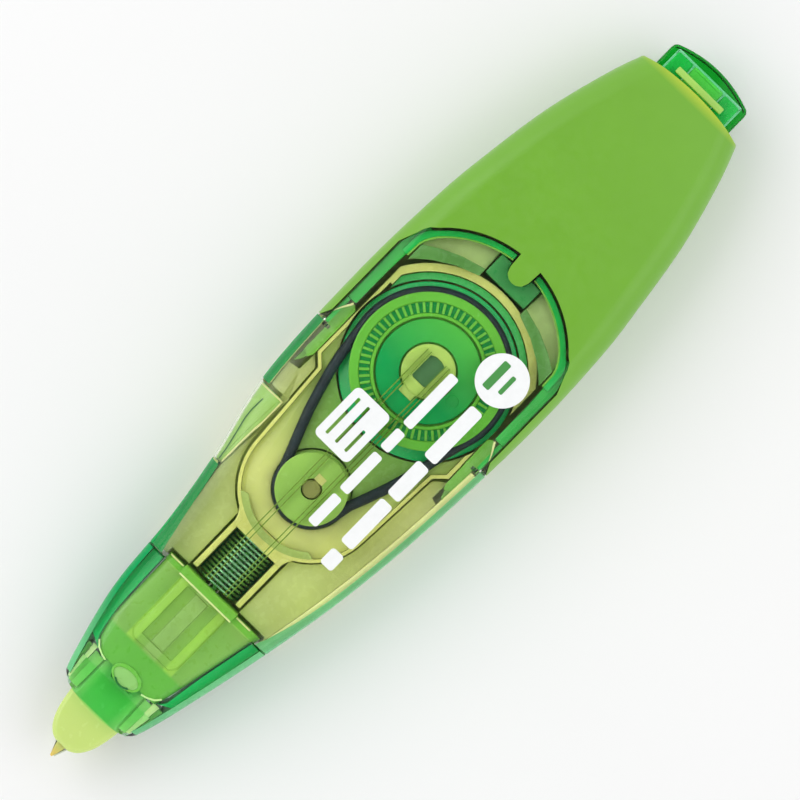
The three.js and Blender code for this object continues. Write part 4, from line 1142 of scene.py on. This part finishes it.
def make_hub():
    head = turned("hub_head", SUPPLY, [(0.01, 12.6), (3.9, 12.6), (3.9, 13.45), (3.7, 13.6), (0.01, 13.6)], 64)
    s, y = SUPPLY
    slot = turned("slot", SUPPLY, [(0.01, 13), (2.35, 13), (2.35, 15), (0.01, 15)], 48)
    fit(slot, block("flats", s - 2.1, s + 2.3, y - 1.4, y + 1.4, 12.9, 16, 0.3), "INTERSECT")
    cut(head, slot)
    soften(clean(head), 0.08, 2)
    finish_piece(head, "cartridge", hub_yellow, "yellow_lime", "supply_hub_cap")
    floor = turned("slot_floor", SUPPLY, [(0.01, 12.95), (2.3, 12.95), (2.3, 13.05), (0.01, 13.05)], 48)
    fit(floor, block("flats", s - 2.05, s + 2.25, y - 1.36, y + 1.36, 12, 14), "INTERSECT")
    finish_piece(clean(floor), "cartridge", slot_green, "dark_green")
    return head


def make_tip():
    def side(sign):
        points = []
        for i in range(13):
            t = i / 12
            s = (1 - t) ** 2 * 2.2 + 2 * t * (1 - t) * 3.0 + t * t * 9.0
            y = (1 - t) ** 2 * 1.2 + 2 * t * (1 - t) * 4.0 + t * t * 4.6
            points.append((s, sign * y))
        return points

    outline = side(-1) + [(9.3, -4.5), (9.6, -4.2), (20, -4.2), (20, 4.2), (9.6, 4.2), (9.3, 4.5)] + side(1)[::-1]
    low = soften(plate("low_cheek", outline, 4.8, 5.7), 0.3, 4)
    high = plate("tip_cheeks", outline, 10.3, 11.2)
    pick(high, "EDGE", lambda middle, run: middle.z > 11.19)
    bpy.ops.mesh.bevel(offset=0.75 * MM, segments=6, affect="EDGES", clamp_overlap=False)
    close_mesh()
    dimple = turned("dimple", (15.5, 0), [(0.01, 10.85), (1.9, 10.85), (2.3, 11.3), (2.3, 12), (0.01, 12)], 48)
    fit(dimple, block("narrow", 14.2, 16.8, -2.6, 2.6, 10, 13, 0.4), "INTERSECT")
    cut(high, dimple)
    web = block("web", 7, 20, -0.3, 0.3, 5, 11, 0.1)
    neck = block("neck", 19, 44.4, -0.3, 0.3, 5.6, 10.4, 0.1)
    walls = [block("wall", 9.8, 20, 3.3, 4.15, 5, 11, 0.15), block("wall", 9.8, 20, -4.15, -3.3, 5, 11, 0.15)]
    weld(high, low, web, neck, *walls)
    clean(high)
    finish_piece(high, "cartridge", head_lime, "pale_lime", "tip_holder")
    edge = [(0, 0.15), (0.5, 0.35), (2, 0.75), (3, 0.7), (6.6, 0.3)]
    wedge = flip(edge, -1) + edge[::-1]
    blade = soften(plate("tip_wedge", wedge, 6, 10), 0.08, 2)
    finish_piece(blade, "cartridge", blade_yellow, "yellow_lime", "tip_blade")


# The tape's way from the fresh roll to the tip, and the backing film's way back to the used roll.
FEED = [
    (76.4, 11.65), (74.6, 11.45), (47.3, 6.12), (46.6, 5.85), (46, 5.2), (44.4, 1.5),
    (43.4, 0.8), (20, 0.72), (7, 0.72), (2.1, 1.02), (0.3, 0.36),
]
BACK = [(0.3, -0.36), (2.1, -1.02), (7, -0.72), (20, -0.72), (43.4, -0.75), (44.6, -0.95), (52, -3.5), (53.2, -3.75)]


def make_tape_run(name, route, finish, slot, node):
    """A strip standing on edge along a route, given its thickness by a solidify."""
    piece = draw(name, [at(s, y, 6) for s, y in route])
    select_whole()
    bpy.ops.mesh.extrude_region_move(TRANSFORM_OT_translate={"value": (0, 0, 4 * MM)})
    close_mesh()
    take(piece)
    wall = piece.modifiers.new("Thickness", "SOLIDIFY")
    wall.thickness = 0.2 * MM
    wall.offset = 0
    bpy.ops.object.modifier_apply(modifier=wall.name)
    return finish_piece(piece, "cartridge", finish, slot, node, angle=50)


def belt_route(inside=0.0):
    """The belt's middle line: round both pulleys, and bowed a little outwards between them."""
    big, small, z = 11.4 - inside, 5.0 - inside, 11.95
    bow = [(55.2, 6.0), (58, 7.1), (61, 8.2), (64, 9.1), (67, 9.9), (69.6, 10.45)]
    turn = math.radians(101)
    places = [(s, y, z) for s, y in arc(*SUPPLY, big, -turn, turn, 64)]
    places += [(s, y - 0.2 - inside, z) for s, y in reversed(bow)]
    places += [(s, y, z) for s, y in arc(*TAKEUP, small, math.radians(96), math.radians(264), 32)]
    return places + [(s, 0.4 - y + inside, z) for s, y in bow]


def make_belt():
    belt = tube("belt", [at(*place) for place in belt_route()], 0.76, closed=True, sides=5)
    return finish_piece(belt, "cartridge", belt_navy, "belt_rubber", "drive_belt", angle=60)


# ---- reels ----
def make_reels():
    reel = turned("supply_spool", SUPPLY, [
        (2.2, 5), (12.6, 5), (12.8, 5.15), (12.8, 5.55), (12.6, 5.7), (7.3, 5.7),
        (7.3, 10.3), (12.6, 10.3), (12.8, 10.42), (12.8, 10.68), (12.6, 10.8), (2.2, 10.8)])
    finish_piece(reel, "supply", flange_green, "flange_green", "supply_reel")
    roll = turned("fresh_roll", SUPPLY, [(7.6, 6), (11.5, 6), (11.6, 6.1), (11.6, 9.9), (11.5, 10), (7.6, 10)])
    finish_piece(roll, "supply", roll_white, "correction_tape", "fresh_tape_roll")
    wheel = turned("supply_wheel", SUPPLY, [
        (2.2, 11.05), (9.98, 11.05), (9.98, 12.95), (11.15, 12.95), (11.3, 13.05), (11.3, 13.2),
        (11.1, 13.35), (10.05, 13.35), (9.9, 13.2), (9.9, 12.9), (8.3, 12.9), (8.3, 13.2),
        (8.2, 13.35), (7.9, 13.35), (7.8, 13.25), (7.8, 12.2), (2.2, 12.2)], 120)
    finish_piece(wheel, "supply", wheel_lime, "lime", "supply_pulley")
    ring = turned("rib_bed", SUPPLY, [(8.32, 12.9), (9.88, 12.9), (9.88, 12.98), (8.32, 12.98)])
    finish_piece(ring, "supply", rib_floor, "flange_green")
    s, y = SUPPLY
    rib = block("wheel_ribs", s + 8.35, s + 9.85, y - 0.2, y + 0.2, 12.85, 13.3, 0.08, 2)
    open_mesh(rib)
    select_whole()
    bpy.ops.mesh.spin(steps=59, dupli=True, angle=2 * math.pi * 59 / 60, center=at(s, y, 0), axis=(0, 0, 1))
    close_mesh()
    finish_piece(rib, "supply", wheel_lime, "lime")
    disc = turned("clutch_plate", SUPPLY, [
        (4.2, 12.5), (7.4, 12.5), (7.5, 12.6), (7.5, 13.0), (7.4, 13.1), (4.2, 13.1)])
    dimple = turned("dimple", (76, -5.7), [(0.01, 12.95), (0.85, 12.95), (1.05, 13.2), (0.01, 13.2)], 32)
    cut(disc, dimple)
    finish_piece(clean(disc), "supply", disc_emerald, "emerald", "clutch_disc")
    # A tongue on the fixed hub head reaches out just clear of the disc that turns below it.
    tongue = block("hub_tongue", 71.9, 73.1, -1.4, 1.0, 13.18, 13.42, 0.08)
    finish_piece(tongue, "cartridge", hub_yellow, "yellow_lime")
    spool = turned("takeup_spool", TAKEUP, [
        (1.5, 5), (6.05, 5), (6.2, 5.12), (6.2, 5.58), (6.05, 5.7), (2.6, 5.7),
        (2.6, 10.3), (5.5, 10.3), (5.6, 10.4), (5.6, 10.7), (5.5, 10.8), (1.5, 10.8)], 72)
    finish_piece(spool, "takeup", takeup_lime, "yellow_lime", "takeup_reel")
    used = turned("used_roll", TAKEUP, [(2.8, 6), (3.25, 6), (3.3, 6.05), (3.3, 9.95), (3.25, 10), (2.8, 10)], 72)
    finish_piece(used, "takeup", used_film, "backing_film", "used_tape_roll")
    small = turned("takeup_wheel", TAKEUP, [
        (1.5, 11.05), (3.68, 11.05), (3.68, 12.95), (5.15, 12.95),
        (5.25, 13.02), (5.25, 13.2), (5.1, 13.35), (1.5, 13.35)], 72)
    finish_piece(small, "takeup", takeup_lime, "yellow_lime", "takeup_pulley")
    pin = turned("takeup_pin", TAKEUP, [(0.01, 12.9), (1.3, 12.9), (1.3, 13.3), (1.1, 13.45), (0.01, 13.45)], 40)
    finish_piece(pin, "cartridge", pin_brown, "yellow_lime")
    mark = block("takeup_mark", 54.5, 55.6, -0.85, 0.7, 13.3, 13.42, 0.05)
    finish_piece(mark, "takeup", tray_yellow, "yellow_lime")


# ---- printed marks: plain bars, a page and a roll, with no lettering ----
def printed(name, outline, low=PRINT_LOW, high=PRINT_HIGH, finish=None):
    piece = plate(name, outline, low, high)
    return finish_piece(piece, "casing", finish or white_ink, "correction_tape")


def card(s0, s1, y0, y1, r):
    """A rounded rectangle."""
    quarter = math.pi / 2
    corners = [(s1 - r, y1 - r, 0), (s0 + r, y1 - r, 1), (s0 + r, y0 + r, 2), (s1 - r, y0 + r, 3)]
    return [place for s, y, turn in corners for place in arc(s, y, r, turn * quarter, (turn + 1) * quarter, 6)]


def make_prints():
    for i, (s0, s1) in enumerate([(49.8, 55.2), (56.2, 63.4), (64.4, 68.0), (69.0, 78.8)]):
        printed(f"print_upper_{i}", card(s0, s1, -4.3, -2.7, 0.4))
    for i, (s0, s1) in enumerate([(46.8, 49.6), (51.0, 59.4), (60.4, 66.8), (67.8, 77.6)]):
        printed(f"print_lower_{i}", card(s0, s1, -10.2, -8.0, 0.5))
    page = plate("print_page", card(59.2, 68.4, -1.2, 5.4, 0.9), PRINT_LOW, PRINT_HIGH)
    for y0, y1, s0, s1 in ((3.7, 4.2, 60.4, 67.2), (1.85, 2.35, 60.4, 67.2), (0.0, 0.5, 60.4, 64.4)):
        cut(page, plate("line", card(s0, s1, y0, y1, 0.2), 15, 17))
    finish_piece(page, "casing", white_ink, "correction_tape")
    section = [(0.01, PRINT_LOW), (3.9, PRINT_LOW), (3.9, PRINT_HIGH), (0.01, PRINT_HIGH)]
    disc = turned("print_disc", (83, -8.7), section, 64)
    finish_piece(disc, "casing", white_ink, "correction_tape")
    for i, (s0, s1, y0, y1) in enumerate([(80.6, 85.4, -8.2, -7.0), (81.4, 84.6, -10.0, -9.3)]):
        printed(f"print_disc_bar_{i}", card(s0, s1, y0, y1, 0.25), 16.0, 16.07, green_ink)


# ---- studio ----
def make_studio():
    clear_selection()
    bpy.ops.mesh.primitive_plane_add(size=3, location=(0, 0, -0.0002))
    floor = name_it("floor")
    settle()
    f = Finish("studio_floor")
    tone = f.blend(f.spread_to(f.grain(8, 2), 0, 1), (0.93, 0.93, 0.93, 1), (0.95, 0.95, 0.95, 1))
    f.shader(tone, f.spread_to(f.grain(30), 0.55, 0.65))
    floor.data.materials.append(f.material)
    world = bpy.data.worlds.new("studio")
    bpy.context.scene.world = world
    world.use_nodes = True
    sky = world.node_tree
    backdrop = sky.nodes["Background"]
    backdrop.inputs["Color"].default_value = (1, 1, 1, 1)
    # An even white tent with an unlit patch overhead, so that flat clear faces don't mirror it.
    direction = sky.nodes.new("ShaderNodeSeparateXYZ")
    sky.links.new(sky.nodes.new("ShaderNodeTexCoord").outputs["Generated"], direction.inputs[0])
    patch = sky.nodes.new("ShaderNodeMapRange")
    for label, number in (("From Min", 0.90), ("From Max", 0.975), ("To Min", 0.86), ("To Max", 0.12)):
        patch.inputs[label].default_value = number
    sky.links.new(direction.outputs["Z"], patch.inputs["Value"])
    sides = sky.nodes.new("ShaderNodeMapRange")
    for label, number in (("From Min", 0.0), ("From Max", 0.4), ("To Min", 1.4), ("To Max", 1.0)):
        sides.inputs[label].default_value = number
    sky.links.new(direction.outputs["Z"], sides.inputs["Value"])
    strength = sky.nodes.new("ShaderNodeMath")
    strength.operation = "MULTIPLY"
    sky.links.new(patch.outputs["Result"], strength.inputs[0])
    sky.links.new(sides.outputs["Result"], strength.inputs[1])
    sky.links.new(strength.outputs[0], backdrop.inputs["Strength"])
    for name, place, size, power in (
        ("key", (-0.10, 0.45, 0.55), 0.6, 1.25), ("fill", (0.25, -0.35, 0.6), 0.6, 0.75)
    ):
        clear_selection()
        bpy.ops.object.light_add(type="AREA", location=place)
        lamp = bpy.context.object
        lamp.name = name
        lamp.data.size = size
        lamp.data.energy = power
        lamp.rotation_euler = (-Vector(place)).to_track_quat("-Z", "Y").to_euler()
    eye = (3.0 * MM, -0.25 * MM, MIDDLE * MM + 0.635)
    bpy.ops.object.camera_add(location=eye, rotation=(0, 0, math.radians(-45.7)))
    camera = bpy.context.object
    camera.data.lens = 200
    camera.data.clip_start = 0.01
    bpy.context.scene.camera = camera
    bpy.context.scene.view_settings.view_transform = "Standard"


make_nose()
make_bush()
make_window()
make_window_bead()
make_strips()
make_spring()
make_release()
make_cover()
make_collar()
make_cam_parts()
make_knock()
make_tray()
make_lid()
make_hub()
make_tip()
make_tape_run("feed_tape", FEED, tape_white, "correction_tape", "tape_feed_run")
make_tape_run("return_film", BACK, film_pale, "backing_film", "tape_return_run")
make_belt()
make_reels()
make_prints()
make_studio()
clear_selection()
